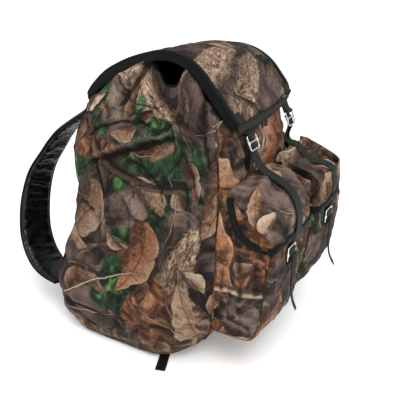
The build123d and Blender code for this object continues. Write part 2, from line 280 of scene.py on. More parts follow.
def settle(name, P, every, cap, spare=0.04, pressure=0.0, closed=False, held=None, frames=14):
    """Lets a cloth grid buckle into wrinkles. A coarse copy with some spare length is run as cloth, held at its seams, and its movement, at most cap mm, is added to the grid."""
    m, n = P.shape[:2]
    ri = np.unique(np.r_[np.arange(0, m, every), m - 1])
    ci = np.arange(0, n - every // 2, every) if closed else np.unique(np.r_[np.arange(0, n, every), n - 1])
    C = P[np.ix_(ri, ci)]
    o = mesh_object(name, C.reshape(-1, 3), grid_faces(len(ri), len(ci), closed))
    pin = np.zeros(C.shape[:2], bool)
    pin[0] = pin[-1] = True
    if not closed:
        pin[:, 0] = pin[:, -1] = True
    if held is not None:
        pin |= held[np.ix_(ri, ci)]
    group = o.vertex_groups.new(name="held")
    group.add([int(i) for i in np.flatnonzero(pin.ravel())], 1.0, "REPLACE")
    mod = o.modifiers.new("cloth", "CLOTH")
    st = mod.settings
    st.quality = 6
    st.mass = 0.2
    st.tension_stiffness = st.compression_stiffness = 15
    st.shear_stiffness = 5
    st.bending_stiffness = 0.15
    st.vertex_group_mass = "held"
    st.shrink_min = -spare
    st.effector_weights.gravity = 0
    if pressure:
        st.use_pressure = True
        st.uniform_pressure_force = pressure
    mod.collision_settings.use_collision = False
    mod.collision_settings.use_self_collision = False
    mod.point_cache.frame_start, mod.point_cache.frame_end = 1, frames
    for f in range(1, frames + 1):
        SCENE.frame_set(f)
    ev = o.evaluated_get(bpy.context.evaluated_depsgraph_get())
    me = ev.to_mesh()
    co = np.zeros(len(me.vertices) * 3)
    me.vertices.foreach_get("co", co)
    ev.to_mesh_clear()
    SCENE.frame_set(1)
    old = o.data
    bpy.data.objects.remove(o)
    bpy.data.meshes.remove(old)
    # the wrinkles are kept, the even swelling is not
    move = co.reshape(C.shape) / MM - C
    move -= blur(move, 3, closed)
    move *= blur(1.0 - pin, 1, closed)[..., None] * ~pin[..., None]
    size = np.linalg.norm(move, axis=2, keepdims=True)
    move *= cap * np.tanh(size / cap) / np.maximum(size, 1e-6)
    if closed:
        ci, move = np.r_[ci, n], np.concatenate([move, move[:, :1]], 1)
    rows = np.stack([[np.interp(np.arange(m), ri, move[:, j, k]) for j in range(len(ci))] for k in range(3)], -1)
    fine = np.stack([[np.interp(np.arange(n), ci, rows[:, i, k]) for i in range(m)] for k in range(3)], -1)
    k = max(1, every // 2)
    edge = np.minimum(np.arange(m), np.arange(m)[::-1])[:, None] / (3.0 * every)
    if not closed:
        edge = np.minimum(edge, np.minimum(np.arange(n), np.arange(n)[::-1])[None, :] / (3.0 * every))
    return P + blur(fine, k, closed) * smoothstep(0, 1, edge)[..., None]


def apply_mods(o):
    """Turns an object's modifiers into its mesh."""
    deps = bpy.context.evaluated_depsgraph_get()
    deps.update()
    me = bpy.data.meshes.new_from_object(o.evaluated_get(deps), preserve_all_data_layers=True, depsgraph=deps)
    o.modifiers.clear()
    o.data = me
    return o


def ribbon(name, pts, width, thick, wide=(1, 0, 0), n=60, uv0=(0, 0), sag=None, taper_end=0.0, edge=0.35):
    """Webbing along a smooth line, width across, with softened edges. Points in mm."""
    c = smooth_path(pts, n)
    t = np.gradient(c, axis=0)
    t /= np.linalg.norm(t, axis=1, keepdims=True)
    if np.ndim(wide) == 1:
        wide = np.tile(np.asarray(wide, float), (n, 1))
    else:
        k = np.linspace(0, 1, len(wide))
        wide = np.stack([np.interp(np.linspace(0, 1, n), k, np.asarray(wide, float)[:, j]) for j in range(3)], 1)
    w = wide - (wide * t).sum(1, keepdims=True) * t
    w /= np.linalg.norm(w, axis=1, keepdims=True)
    nrm = np.cross(t, w)
    nrm /= np.linalg.norm(nrm, axis=1, keepdims=True)
    hw = np.full(n, width / 2)
    if taper_end:
        k = int(n * taper_end)
        hw[n - k :] *= np.sqrt(np.clip(1 - (np.linspace(0, 1, k)) ** 2, 0.02, 1)) * 0.5 + 0.5
    b = thick * edge
    prof = [
        (-1, -0.4, 0), (-1, -1, b), (-0.5, -1, 0), (0, -1, 0), (0.5, -1, 0), (1, -1, -b),
        (1, -0.4, 0), (1, 0.4, 0), (1, 1, -b), (0.5, 1, 0), (0, 1, 0), (-0.5, 1, 0), (-1, 1, b), (-1, 0.4, 0),
    ]
    k = len(prof)
    verts = np.zeros((n, k, 3))
    for j, (sx, sy, dx) in enumerate(prof):
        verts[:, j] = c + w * (sx * hw + dx)[:, None] + nrm * (sy * thick / 2)
    faces = grid_faces(n, k, closed=True)
    faces.append(tuple(range(k)))
    faces.append(tuple(reversed(range((n - 1) * k, n * k))))
    s = np.r_[0, np.cumsum(np.linalg.norm(np.diff(c, axis=0), axis=1))]
    uv = np.zeros((n, k, 2))
    for j, (sx, sy, dx) in enumerate(prof):
        uv[:, j, 0] = uv0[0] + sx * width / 2 + (width * 1.2 if sy > 0 else 0)
        uv[:, j, 1] = uv0[1] + s
    o = mesh_object(name, verts.reshape(-1, 3), faces, uv.reshape(-1, 2) * MM)
    me = o.data
    me.polygons.foreach_set("use_smooth", [True] * len(me.polygons))
    return o


# =========================================================== material helpers
class Nodes:
    """Short names for building a node tree."""

    def __init__(self, tree):
        self.t = tree
        self.x = 0

    def add(self, kind, **kw):
        n = self.t.nodes.new(kind)
        self.x += 1
        n.location = ((self.x % 30) * 180, -(self.x // 30) * 260)
        for k, v in kw.items():
            setattr(n, k, v)
        return n

    def put(self, socket, value):
        if isinstance(value, bpy.types.NodeSocket):
            self.t.links.new(value, socket)
        elif value is not None:
            socket.default_value = value

    def math(self, op, a, b=None, c=None, clamp=False):
        n = self.add("ShaderNodeMath", operation=op, use_clamp=clamp)
        for s, v in zip(n.inputs, (a, b, c)):
            self.put(s, v)
        return n.outputs[0]

    def vmath(self, op, a, b=None, scale=None):
        n = self.add("ShaderNodeVectorMath", operation=op)
        self.put(n.inputs[0], a)
        if b is not None:
            self.put(n.inputs[1], b)
        if scale is not None:
            self.put(n.inputs["Scale"], scale)
        return n.outputs["Value"] if op in ("LENGTH", "DOT_PRODUCT", "DISTANCE") else n.outputs[0]

    def xyz(self, v):
        n = self.add("ShaderNodeSeparateXYZ")
        self.put(n.inputs[0], v)
        return n.outputs[0], n.outputs[1], n.outputs[2]

    def join(self, x=0.0, y=0.0, z=0.0):
        n = self.add("ShaderNodeCombineXYZ")
        for s, v in zip(n.inputs, (x, y, z)):
            self.put(s, v)
        return n.outputs[0]

    def noise(self, vec, scale, detail=2.0, rough=0.5, distortion=0.0, dims="3D", out="Fac"):
        n = self.add("ShaderNodeTexNoise", noise_dimensions=dims)
        self.put(n.inputs["Vector"], vec)
        self.put(n.inputs["Scale"], scale)
        self.put(n.inputs["Detail"], detail)
        self.put(n.inputs["Roughness"], rough)
        self.put(n.inputs["Distortion"], distortion)
        return n.outputs[out] if out in n.outputs else n.outputs[0]

    def step(self, v, a, b, lo=0.0, hi=1.0):
        """Smooth step from lo at a to hi at b."""
        n = self.add("ShaderNodeMapRange", interpolation_type="SMOOTHSTEP")
        self.put(n.inputs["Value"], v)
        self.put(n.inputs["From Min"], a)
        self.put(n.inputs["From Max"], b)
        self.put(n.inputs["To Min"], lo)
        self.put(n.inputs["To Max"], hi)
        return n.outputs[0]

    def mix(self, fac, a, b, kind="MIX"):
        n = self.add("ShaderNodeMix", data_type="RGBA", blend_type=kind)
        n.clamp_factor = True
        self.put(n.inputs["Factor"], fac)
        self.put(n.inputs[6], a)
        self.put(n.inputs[7], b)
        return n.outputs[2]

    def ramp(self, fac, stops, mode="LINEAR"):
        n = self.add("ShaderNodeValToRGB")
        n.color_ramp.interpolation = mode
        els = n.color_ramp.elements
        while len(els) < len(stops):
            els.new(0.5)
        for e, (pos, col) in zip(els, stops):
            e.position = pos
            e.color = (*col, 1)
        self.put(n.inputs[0], fac)
        return n.outputs[0]

    def mapping(self, vec, loc=(0, 0, 0), rot=(0, 0, 0), scale=(1, 1, 1)):
        n = self.add("ShaderNodeMapping")
        self.put(n.inputs["Vector"], vec)
        n.inputs["Location"].default_value = loc
        n.inputs["Rotation"].default_value = rot
        n.inputs["Scale"].default_value = scale
        return n.outputs[0]

    def bump(self, height, strength, distance, normal=None):
        n = self.add("ShaderNodeBump")
        self.put(n.inputs["Height"], height)
        n.inputs["Strength"].default_value = strength
        n.inputs["Distance"].default_value = distance
        if normal is not None:
            self.put(n.inputs["Normal"], normal)
        return n.outputs[0]


def srgb(r, g, b):
    return tuple(((c / 255) / 12.92 if c / 255 <= 0.04045 else ((c / 255 + 0.055) / 1.055) ** 2.4) for c in (r, g, b))


def rgba(r, g, b):
    return (*srgb(r, g, b), 1)


# ---------------------------------------------------------------- leafy print
def make_leaf_group():
    """One scattered layer of leaves: mask, place along and across the leaf, and two random numbers per leaf."""
    g = bpy.data.node_groups.new("leaf_layer", "ShaderNodeTree")
    face = g.interface
    face.new_socket(name="Vector", in_out="INPUT", socket_type="NodeSocketVector")
    for name, value in (
        ("Cells", 8.0), ("Turn", 0.0), ("Seed", 0.0), ("Length", 0.36), ("Width", 0.16), ("Lobes", 0.0),
        ("LobeCount", 16.0), ("Keep", 0.5), ("Soft", 0.02), ("Bend", 0.25),
    ):
        s = face.new_socket(name=name, in_out="INPUT", socket_type="NodeSocketFloat")
        s.default_value = value
    for name in ("Mask", "Along", "Across", "Rand", "Rand2", "Halo", "Vein", "Rim"):
        face.new_socket(name=name, in_out="OUTPUT", socket_type="NodeSocketFloat")
    N = Nodes(g)
    gi = N.add("NodeGroupInput").outputs
    go = N.add("NodeGroupOutput").inputs
    rot = N.add("ShaderNodeVectorRotate", rotation_type="Z_AXIS")
    N.put(rot.inputs["Vector"], gi["Vector"])
    N.put(rot.inputs["Angle"], gi["Turn"])
    p = N.vmath("SCALE", rot.outputs[0], scale=gi["Cells"])
    p = N.vmath("ADD", p, N.join(gi["Seed"], N.math("MULTIPLY", gi["Seed"], 1.7), 0.0))
    vor = N.add("ShaderNodeTexVoronoi", voronoi_dimensions="2D", feature="F1")
    N.put(vor.inputs["Vector"], p)
    vor.inputs["Scale"].default_value = 1.0
    vor.inputs["Randomness"].default_value = 0.8
    local = N.vmath("SUBTRACT", p, vor.outputs["Position"])
    rnd = N.add("ShaderNodeSeparateColor")
    N.put(rnd.inputs[0], vor.outputs["Color"])
    r1, r2, r3 = rnd.outputs
    turn = N.add("ShaderNodeVectorRotate", rotation_type="Z_AXIS")
    N.put(turn.inputs["Vector"], local)
    N.put(turn.inputs["Angle"], N.math("MULTIPLY", r1, 6.2832))
    lx, ly, _ = N.xyz(turn.outputs[0])
    size = N.math("MULTIPLY_ADD", r2, 0.55, 0.62)
    length = N.math("MULTIPLY", gi["Length"], size)
    x = N.math("DIVIDE", lx, length)
    bend = N.math("MULTIPLY", N.math("MULTIPLY", x, x), N.math("MULTIPLY", gi["Bend"], N.math("SUBTRACT", r3, 0.5)))
    y = N.math("SUBTRACT", N.math("DIVIDE", ly, length), bend)
    ay = N.math("ABSOLUTE", y)
    inside = N.math("MAXIMUM", N.math("SUBTRACT", 1.0, N.math("MULTIPLY", x, x)), 0.0)
    prof = N.math("POWER", inside, 0.8)
    prof = N.math("MULTIPLY", prof, N.math("MULTIPLY_ADD", x, -0.34, 1.0))
    lobe = N.math("PINGPONG", N.math("SUBTRACT", N.math("MULTIPLY", x, gi["LobeCount"]), N.math("MULTIPLY", ay, N.math("MULTIPLY", gi["LobeCount"], 0.8))), 1.0)
    lobe = N.math("SUBTRACT", 1.0, N.math("MULTIPLY", lobe, gi["Lobes"]))
    w = N.math("DIVIDE", gi["Width"], gi["Length"])
    edge = N.math("MULTIPLY", N.math("MULTIPLY", prof, w), lobe)
    d = N.math("SUBTRACT", edge, ay)
    soft = gi["Soft"]
    mask = N.step(d, N.math("MULTIPLY", soft, -1.0), soft)
    keep = N.math("LESS_THAN", r3, gi["Keep"])
    mask = N.math("MULTIPLY", mask, keep)
    halo = N.math("MULTIPLY", N.step(N.math("MULTIPLY_ADD", y, 0.35, d), -0.22, 0.03), keep)
    rib = N.step(ay, 0.030, 0.006)
    sidev = N.math("PINGPONG", N.math("MULTIPLY", N.math("SUBTRACT", x, N.math("MULTIPLY", ay, 0.75)), 4.6), 0.5)
    sidev = N.step(sidev, 0.06, 0.0)
    vein = N.math("MAXIMUM", rib, N.math("MULTIPLY", sidev, 0.6))
    rim = N.step(d, 0.07, 0.0)
    for name, v in (("Mask", mask), ("Along", x), ("Across", y), ("Rand", r1), ("Rand2", r2), ("Halo", halo), ("Vein", vein), ("Rim", rim)):
        N.put(go[name], v)
    return g


def make_print_group():
    """Generic woodland print: blurred ground, bark, foliage, fallen leaves and twigs. Input in metres of cloth."""
    leafg = make_leaf_group()
    g = bpy.data.node_groups.new("leafy_print", "ShaderNodeTree")
    g.interface.new_socket(name="Vector", in_out="INPUT", socket_type="NodeSocketVector")
    for name in ("Green", "Rust", "Pale"):
        s = g.interface.new_socket(name=name, in_out="INPUT", socket_type="NodeSocketFloat")
        s.default_value = 0.0
    g.interface.new_socket(name="Color", in_out="OUTPUT", socket_type="NodeSocketColor")
    N = Nodes(g)
    gin = N.add("NodeGroupInput").outputs
    gout = N.add("NodeGroupOutput").inputs
    raw = gin["Vector"]

    def wander(v, scale, amount, shift):
        c = N.noise(N.vmath("ADD", v, shift), scale, 2.0, 0.5, out="Color")
        return N.vmath("ADD", v, N.vmath("SCALE", N.vmath("SUBTRACT", c, (0.5, 0.5, 0.5)), scale=amount))

    soft_uv = wander(raw, 14.0, 0.020, (0.3, 0.9, 0.2))
    uv = wander(soft_uv, 95.0, 0.0042, (2.3, 0.1, 0.7))
    rough_uv = wander(uv, 260.0, 0.0050, (0.7, 2.2, 1.7))

    under = [None]

    def leaves(vec, cells, turn, seed, length, width, lobes, count, keep, soft=0.02, bend=0.25):
        # each layer waits for the one below, so that few values are held at a time
        if under[0] is not None:
            wait = N.add("ShaderNodeVectorMath", operation="MULTIPLY_ADD")
            N.put(wait.inputs[0], under[0])
            N.put(wait.inputs[1], (1e-9, 1e-9, 1e-9))
            N.put(wait.inputs[2], vec)
            vec = wait.outputs[0]
        n = N.add("ShaderNodeGroup")
        n.node_tree = leafg
        N.put(n.inputs["Vector"], vec)
        for k, v in (
            ("Cells", cells), ("Turn", turn), ("Seed", seed), ("Length", length), ("Width", width), ("Lobes", lobes),
            ("LobeCount", count), ("Keep", keep), ("Soft", soft), ("Bend", bend),
        ):
            N.put(n.inputs[k], v)
        return n.outputs

    mottle = N.noise(raw, 95.0, 4.0, 0.68, 0.6)
    speck = N.noise(raw, 260.0, 3.0, 0.65, 0.3)
    blotch = N.noise(N.vmath("ADD", raw, (0.9, 5.2, 3.3)), 62.0, 4.0, 0.62, 1.4)

    # ground: out-of-focus litter
    wide = N.noise(raw, 5.0, 3.0, 0.5, 0.8)
    mid = N.noise(N.vmath("ADD", raw, (3.1, 1.7, 0.4)), 19.0, 3.0, 0.55, 1.2)
    tone = N.math("MULTIPLY_ADD", mid, 0.55, N.math("MULTIPLY", wide, 0.45))
    tone = N.math("MULTIPLY_ADD", N.math("SUBTRACT", speck, 0.5), 0.07, tone)
    col = N.ramp(
        tone,
        [
            (0.33, srgb(20, 14, 12)), (0.41, srgb(46, 34, 30)), (0.47, srgb(82, 65, 59)), (0.53, srgb(106, 87, 80)),
            (0.59, srgb(122, 101, 91)), (0.66, srgb(84, 61, 49)), (0.76, srgb(46, 30, 24)),
        ],
    )

    def body_colour(leaf, stops, gloss=0.0, shade=0.9, vein_amount=0.5, vein_col=None, rim_col=None, rim_amount=0.0):
        base = N.ramp(leaf["Rand2"], stops, "LINEAR")
        t = N.math("MULTIPLY_ADD", leaf["Across"], 1.9, N.math("MULTIPLY_ADD", leaf["Along"], 0.25, 0.52))
        t = N.math("MULTIPLY_ADD", N.math("SUBTRACT", mottle, 0.5), 1.7, t)
        dark = N.mix(1.0, base, (0.22, 0.19, 0.18, 1), "MULTIPLY")
        light = N.mix(gloss, base, (0.66, 0.55, 0.42, 1))
        b = N.mix(N.step(t, 0.0, 0.55), dark, base)
        b = N.mix(N.step(t, 0.6, 1.15, 0.0, 0.85), b, light)
        b = N.mix(N.step(blotch, 0.50, 0.66, 0.0, 0.55), b, dark)
        b = N.mix(N.step(blotch, 0.46, 0.34, 0.0, 0.28), b, light)
        if vein_amount:
            b = N.mix(N.math("MULTIPLY", leaf["Vein"], vein_amount), b, vein_col or rgba(50, 30, 22))
        if rim_amount:
            b = N.mix(N.math("MULTIPLY", N.math("MULTIPLY", leaf["Rim"], N.step(leaf["Across"], -0.1, 0.25)), rim_amount), b, rim_col or rgba(200, 170, 140))
        return b

    def paint(col, leaf, body, halo=0.75, zone=None, ragged_edge=0.0):
        mask, shadow = leaf["Mask"], leaf["Halo"]
        if ragged_edge:
            mask = N.math("MULTIPLY", mask, N.step(N.math("MULTIPLY_ADD", leaf["Mask"], 0.5, mottle), 0.72, 0.86))
        if zone is not None:
            mask, shadow = N.math("MULTIPLY", mask, zone), N.math("MULTIPLY", shadow, zone)
        ragged = N.step(mottle, 0.25, 0.62, 1.0, 0.55)
        col = N.mix(N.math("MULTIPLY", N.math("MULTIPLY", shadow, halo), ragged), col, rgba(17, 11, 10))
        under[0] = N.mix(mask, col, body)
        return under[0]

    # blurred leaves far back
    for cells, turn, seed, keep in ((5.6, 0.3, 1.9, 0.70), (8.5, 1.9, 6.4, 0.55)):
        far = leaves(soft_uv, cells, turn, seed, 0.52, 0.32, 0.0, 6.0, keep, 0.22, 0.6)
        b = body_colour(far, [(0.0, srgb(52, 36, 30)), (0.3, srgb(112, 94, 87)), (0.55, srgb(92, 70, 58)), (0.8, srgb(138, 118, 106)), (1.0, srgb(66, 50, 42))], 0.1, 0.9, 0.0)
        col = paint(col, far, b, 0.6)
    # needles, stems and crumbled leaf, all small
    litter = [(0.0, srgb(30, 20, 17)), (0.3, srgb(96, 74, 62)), (0.55, srgb(64, 44, 34)), (0.8, srgb(152, 128, 108)), (1.0, srgb(44, 30, 25))]
    for cells, turn, seed, keep, length, width in ((17.0, 0.7, 12.4, 0.55, 0.60, 0.10), (23.0, 2.1, 15.1, 0.45, 0.62, 0.13)):
        lt = leaves(rough_uv, cells, turn, seed, length, width, 0.0, 6.0, keep, 0.05, 1.2)
        col = paint(col, lt, body_colour(lt, litter, 0.2, 0.9, 0.0), 0.55)
    # deep shade between things
    shade = N.noise(N.vmath("ADD", raw, (7.7, 4.1, 0)), 10.0, 3.0, 0.6, 1.2)
    col = N.mix(N.step(shade, 0.54, 0.64, 0.0, 0.92), col, rgba(20, 13, 12))
    # trunks and boughs with flaking bark
    for cells, turn, seed, keep, length, width, k in ((2.6, 0.55, 3.9, 0.72, 0.62, 0.115, 0.0), (3.1, -1.0, 0.6, 0.62, 0.66, 0.100, 1.0)):
        trunk = leaves(rough_uv, cells, turn, seed, length, width, 0.0, 6.0, N.math("MULTIPLY_ADD", gin["Pale"], 0.35, keep), 0.03, 0.5)
        bx = N.math("MULTIPLY", trunk["Along"], 9.0 + k)
        by = N.math("MULTIPLY", trunk["Across"], 58.0)
        st = N.noise(N.join(bx, by, N.math("MULTIPLY", trunk["Rand"], 9.0)), 1.5, 5.0, 0.70, 1.1)
        fl = N.noise(raw, 105.0, 4.0, 0.70, 1.4)
        tt = N.math("MULTIPLY_ADD", fl, 0.34, N.math("MULTIPLY", st, 0.66))
        bark = N.ramp(
            tt,
            [(0.36, srgb(24, 16, 13)), (0.43, srgb(72, 51, 40)), (0.48, srgb(126, 98, 80)), (0.53, srgb(176, 148, 124)), (0.59, srgb(206, 184, 160)), (0.72, srgb(122, 96, 80))],
        )
        bark = N.mix(N.step(trunk["Across"], 0.03, 0.14, 0.0, 0.75), bark, rgba(36, 25, 20))
        bark = N.mix(N.step(trunk["Rand2"], 0.4, 0.8, 0.0, 0.5), bark, rgba(96, 74, 60))
        col = paint(col, trunk, bark, 0.8, None, 1.0)

    # masses of foliage
    gz = N.noise(N.vmath("ADD", raw, (11.3, 2.9, 0)), 4.8, 2.0, 0.5, 0.6)
    gzone = N.step(N.math("MULTIPLY_ADD", gin["Green"], 0.12, gz), 0.585, 0.612)
    gtex = N.noise(soft_uv, 26.0, 3.0, 0.60, 1.8)
    foliage = N.ramp(gtex, [(0.32, srgb(6, 11, 8)), (0.43, srgb(15, 30, 19)), (0.52, srgb(27, 56, 32)), (0.60, srgb(48, 84, 46)), (0.72, srgb(104, 138, 78))])
    col = N.mix(N.math("MULTIPLY", gzone, 0.97), col, foliage)
    greens = [(0.0, srgb(17, 38, 23)), (0.3, srgb(31, 64, 37)), (0.6, srgb(50, 88, 48)), (1.0, srgb(78, 114, 64))]
    for cells, turn, seed, keep, soft in ((9.0, 0.4, 5.3, 0.6, 0.10), (15.0, 1.7, 2.2, 0.35, 0.05)):
        gl = leaves(soft_uv, cells, turn, seed, 0.50, 0.27, 0.10, 4.0, keep, soft, 0.5)
        col = paint(col, gl, body_colour(gl, greens, 0.25, 0.9, 0.3, rgba(128, 160, 96)), 0.6, gzone)
    # drifts of rusty fallen leaves
    rz = N.noise(N.vmath("ADD", raw, (21.7, 8.3, 0)), 5.4, 2.0, 0.5, 0.6)
    rzone = N.step(N.math("MULTIPLY_ADD", gin["Rust"], 0.13, rz), 0.575, 0.605)
    rtex = N.noise(soft_uv, 30.0, 4.0, 0.62, 1.8)
    drift_col = N.ramp(rtex, [(0.32, srgb(18, 10, 8)), (0.42, srgb(58, 34, 24)), (0.51, srgb(104, 64, 43)), (0.59, srgb(142, 94, 64)), (0.71, srgb(184, 138, 104))])
    col = N.mix(N.math("MULTIPLY", rzone, 0.95), col, drift_col)
    rustdrift = [(0.0, srgb(72, 40, 26)), (0.3, srgb(126, 78, 50)), (0.6, srgb(156, 104, 70)), (0.8, srgb(96, 58, 40)), (1.0, srgb(178, 130, 94))]
    for cells, turn, seed, keep, soft in ((7.5, 1.1, 21.3, 0.65, 0.06), (12.0, 0.2, 18.2, 0.45, 0.04)):
        rl = leaves(uv, cells, turn, seed, 0.48, 0.24, 0.16, 3.0, keep, soft, 0.6)
        col = paint(col, rl, body_colour(rl, rustdrift, 0.25, 0.9, 0.6, rgba(52, 27, 18), rgba(204, 160, 122), 0.4), 0.8, rzone)
    # broad green leaves out of the masses
    gl = leaves(uv, 6.2, 0.9, 2.7, 0.44, 0.24, 0.16, 4.2, N.math("MULTIPLY_ADD", gin["Green"], 0.4, 0.14), 0.014, 0.4)
    col = paint(col, gl, body_colour(gl, greens, 0.25, 0.9, 0.4, rgba(130, 160, 100)), 0.85)
    # dull brown leaves lying everywhere
    browns = [(0.0, srgb(66, 42, 31)), (0.25, srgb(112, 76, 56)), (0.5, srgb(140, 106, 82)), (0.75, srgb(92, 64, 48)), (1.0, srgb(164, 132, 106))]
    for cells, turn, seed, keep, soft, width in ((6.8, 1.3, 4.4, 0.26, 0.03, 0.20), (10.5, 2.6, 9.7, 0.26, 0.02, 0.17), (14.5, 0.9, 13.7, 0.22, 0.02, 0.20)):
        br = leaves(uv, cells, turn, seed, 0.46, width, 0.08, 5.0, keep, soft, 0.6)
        col = paint(col, br, body_colour(br, browns, 0.2, 0.9, 0.6, rgba(52, 32, 24), rgba(196, 168, 140), 0.4), 0.85)
    # small pale dry leaves
    pale = leaves(uv, 15.0, 2.0, 9.1, 0.42, 0.24, 0.0, 5.0, N.math("MULTIPLY_ADD", gin["Pale"], 0.12, 0.06), 0.03, 0.6)
    pales = [(0.0, srgb(132, 106, 86)), (0.5, srgb(180, 154, 130)), (1.0, srgb(156, 132, 112))]
    col = paint(col, pale, body_colour(pale, pales, 0.3, 0.8, 0.35, rgba(96, 68, 52)), 0.8)
    # lobed rust leaves
    rusts = [(0.0, srgb(98, 56, 36)), (0.35, srgb(146, 94, 62)), (0.7, srgb(168, 118, 82)), (1.0, srgb(122, 74, 48))]
    for cells, turn, seed, keep, lobes, count, width in ((5.0, 0.25, 7.9, 0.24, 0.42, 2.3, 0.25), (6.8, 1.1, 3.7, 0.16, 0.36, 1.9, 0.23)):
        oak = leaves(uv, cells, turn, seed, 0.46, width, lobes, count, N.math("MULTIPLY_ADD", gin["Rust"], 0.5, keep), 0.012, 0.35)
        col = paint(col, oak, body_colour(oak, rusts, 0.25, 0.85, 0.7, rgba(78, 42, 28), rgba(212, 164, 120), 0.5), 0.9)
    # twigs: thin strokes, pale and dark
    for cells, turn, seed, keep, length, width, c1, c2 in (
        (3.6, 0.5, 3.3, 0.62, 0.62, 0.0190, rgba(74, 56, 46), rgba(184, 162, 142)),
        (5.2, 2.2, 8.8, 0.50, 0.58, 0.0085, rgba(116, 94, 78), rgba(202, 182, 162)),
        (8.2, 1.2, 23.8, 0.50, 0.60, 0.0060, rgba(120, 96, 80), rgba(196, 174, 152)),
        (3.2, 1.4, 6.1, 0.50, 0.66, 0.0240, rgba(24, 17, 15), rgba(84, 64, 52)),
        (6.9, 0.9, 1.1, 0.35, 0.55, 0.0065, rgba(20, 14, 12), rgba(40, 28, 24)),
    ):
        tw = leaves(uv, cells, turn, seed, length, width, 0.0, 10.0, keep, 0.004, 1.6)
        tc = N.mix(N.step(N.math("MULTIPLY_ADD", N.math("SUBTRACT", speck, 0.5), 0.05, tw["Across"]), -0.012, 0.014), c1, c2)
        col = N.mix(N.math("MULTIPLY", N.step(N.math("ABSOLUTE", tw["Across"]), 0.05, 0.01), N.math("MULTIPLY", tw["Halo"], 0.45)), col, rgba(18, 13, 12))
        col = N.mix(N.math("MULTIPLY", tw["Mask"], 0.93), col, tc)
        under[0] = col
    # printing grain and broad drift of tone
    col = N.mix(N.step(speck, 0.35, 0.62, 0.0, 0.25), col, rgba(86, 74, 70), "MULTIPLY")
    drift = N.noise(raw, 3.2, 2.0, 0.5)
    col = N.mix(N.step(drift, 0.42, 0.62, 0.0, 0.40), col, rgba(104, 88, 80), "MULTIPLY")
    N.put(gout["Color"], col)
    return g


PRINT = make_print_group()


def cloth_bump(N, uv, fine=1.0, wrinkle=1.0, seed=0.0):
    """Plain-weave threads, small creases and soft handling marks."""
    ux, uy, _ = N.xyz(uv)
    wx = N.math("SINE", N.math("MULTIPLY", ux, 2 * math.pi / 0.0011))
    wy = N.math("SINE", N.math("MULTIPLY", uy, 2 * math.pi / 0.0011))
    weave = N.math("MULTIPLY", wx, wy)
    n1 = N.bump(weave, 0.25 * fine, 0.0002)
    crease = N.noise(N.vmath("ADD", uv, (seed, seed * 0.7, 0)), 16.0, 3.0, 0.55, 1.6)
    fold = N.math("ABSOLUTE", N.math("SUBTRACT", crease, 0.5))
    n2 = N.bump(N.step(fold, 0.0, 0.12), 0.35 * wrinkle, 0.0016, n1)
    soft = N.noise(N.vmath("ADD", uv, (seed + 3, 1.1, 0)), 34.0, 3.0, 0.6, 0.8)
    return N.bump(soft, 0.5 * wrinkle, 0.0014, n2)


def camo_material(name, offset=(0, 0), turn=0.0, green=0.0, rust=0.0, pale=0.0, dark=0.0, wrinkle=1.0):
    m = bpy.data.materials.new(name)
    m.use_nodes = True
    t = m.node_tree
    t.nodes.clear()
    N = Nodes(t)
    out = N.add("ShaderNodeOutputMaterial")
    b = N.add("ShaderNodeBsdfPrincipled")
    N.put(out.inputs["Surface"], b.outputs[0])
    uvn = N.add("ShaderNodeUVMap", uv_map="cloth")
    uv = uvn.outputs[0]
    moved = N.mapping(uv, (*offset, 0), (0, 0, turn), (0.84, 0.84, 1))
    g = N.add("ShaderNodeGroup")
    g.node_tree = PRINT
    N.put(g.inputs["Vector"], moved)
    g.inputs["Green"].default_value = green
    g.inputs["Rust"].default_value = rust
    g.inputs["Pale"].default_value = pale
    col = g.outputs[0]
    # dark mixes the whole print towards near-black; on the gussets and the far flap this is painted shade
    if dark:
        col = N.mix(dark, col, rgba(14, 11, 10))
    cav = N.add("ShaderNodeAttribute", attribute_type="GEOMETRY", attribute_name="cavity").outputs["Fac"]
    # painted shade: the colour is darkened towards near-black in the hollows and creases that the cavity value marks
    col = N.mix(N.step(cav, 0.02, 0.55, 0.0, 0.88), col, rgba(13, 10, 9))
    # painted highlight: the raised folds, where the cavity value is below zero, turn paler in flecks
    ridge_highlight_flecks = N.noise(uv, 210.0, 3.0, 0.7)
    col = N.mix(N.math("MULTIPLY", N.step(cav, -0.10, -0.9, 0.0, 0.16), N.step(ridge_highlight_flecks, 0.35, 0.6)), col, rgba(176, 160, 146))
    N.put(b.inputs["Base Color"], col)
    rough = N.noise(uv, 30.0, 2.0, 0.5)
    N.put(b.inputs["Roughness"], N.step(rough, 0.3, 0.7, 0.62, 0.82))
    b.inputs["Specular IOR Level"].default_value = 0.12
    b.inputs["Sheen Weight"].default_value = 0.02
    b.inputs["Sheen Roughness"].default_value = 0.5
    N.put(b.inputs["Normal"], cloth_bump(N, uv, 1.0, wrinkle))
    return m


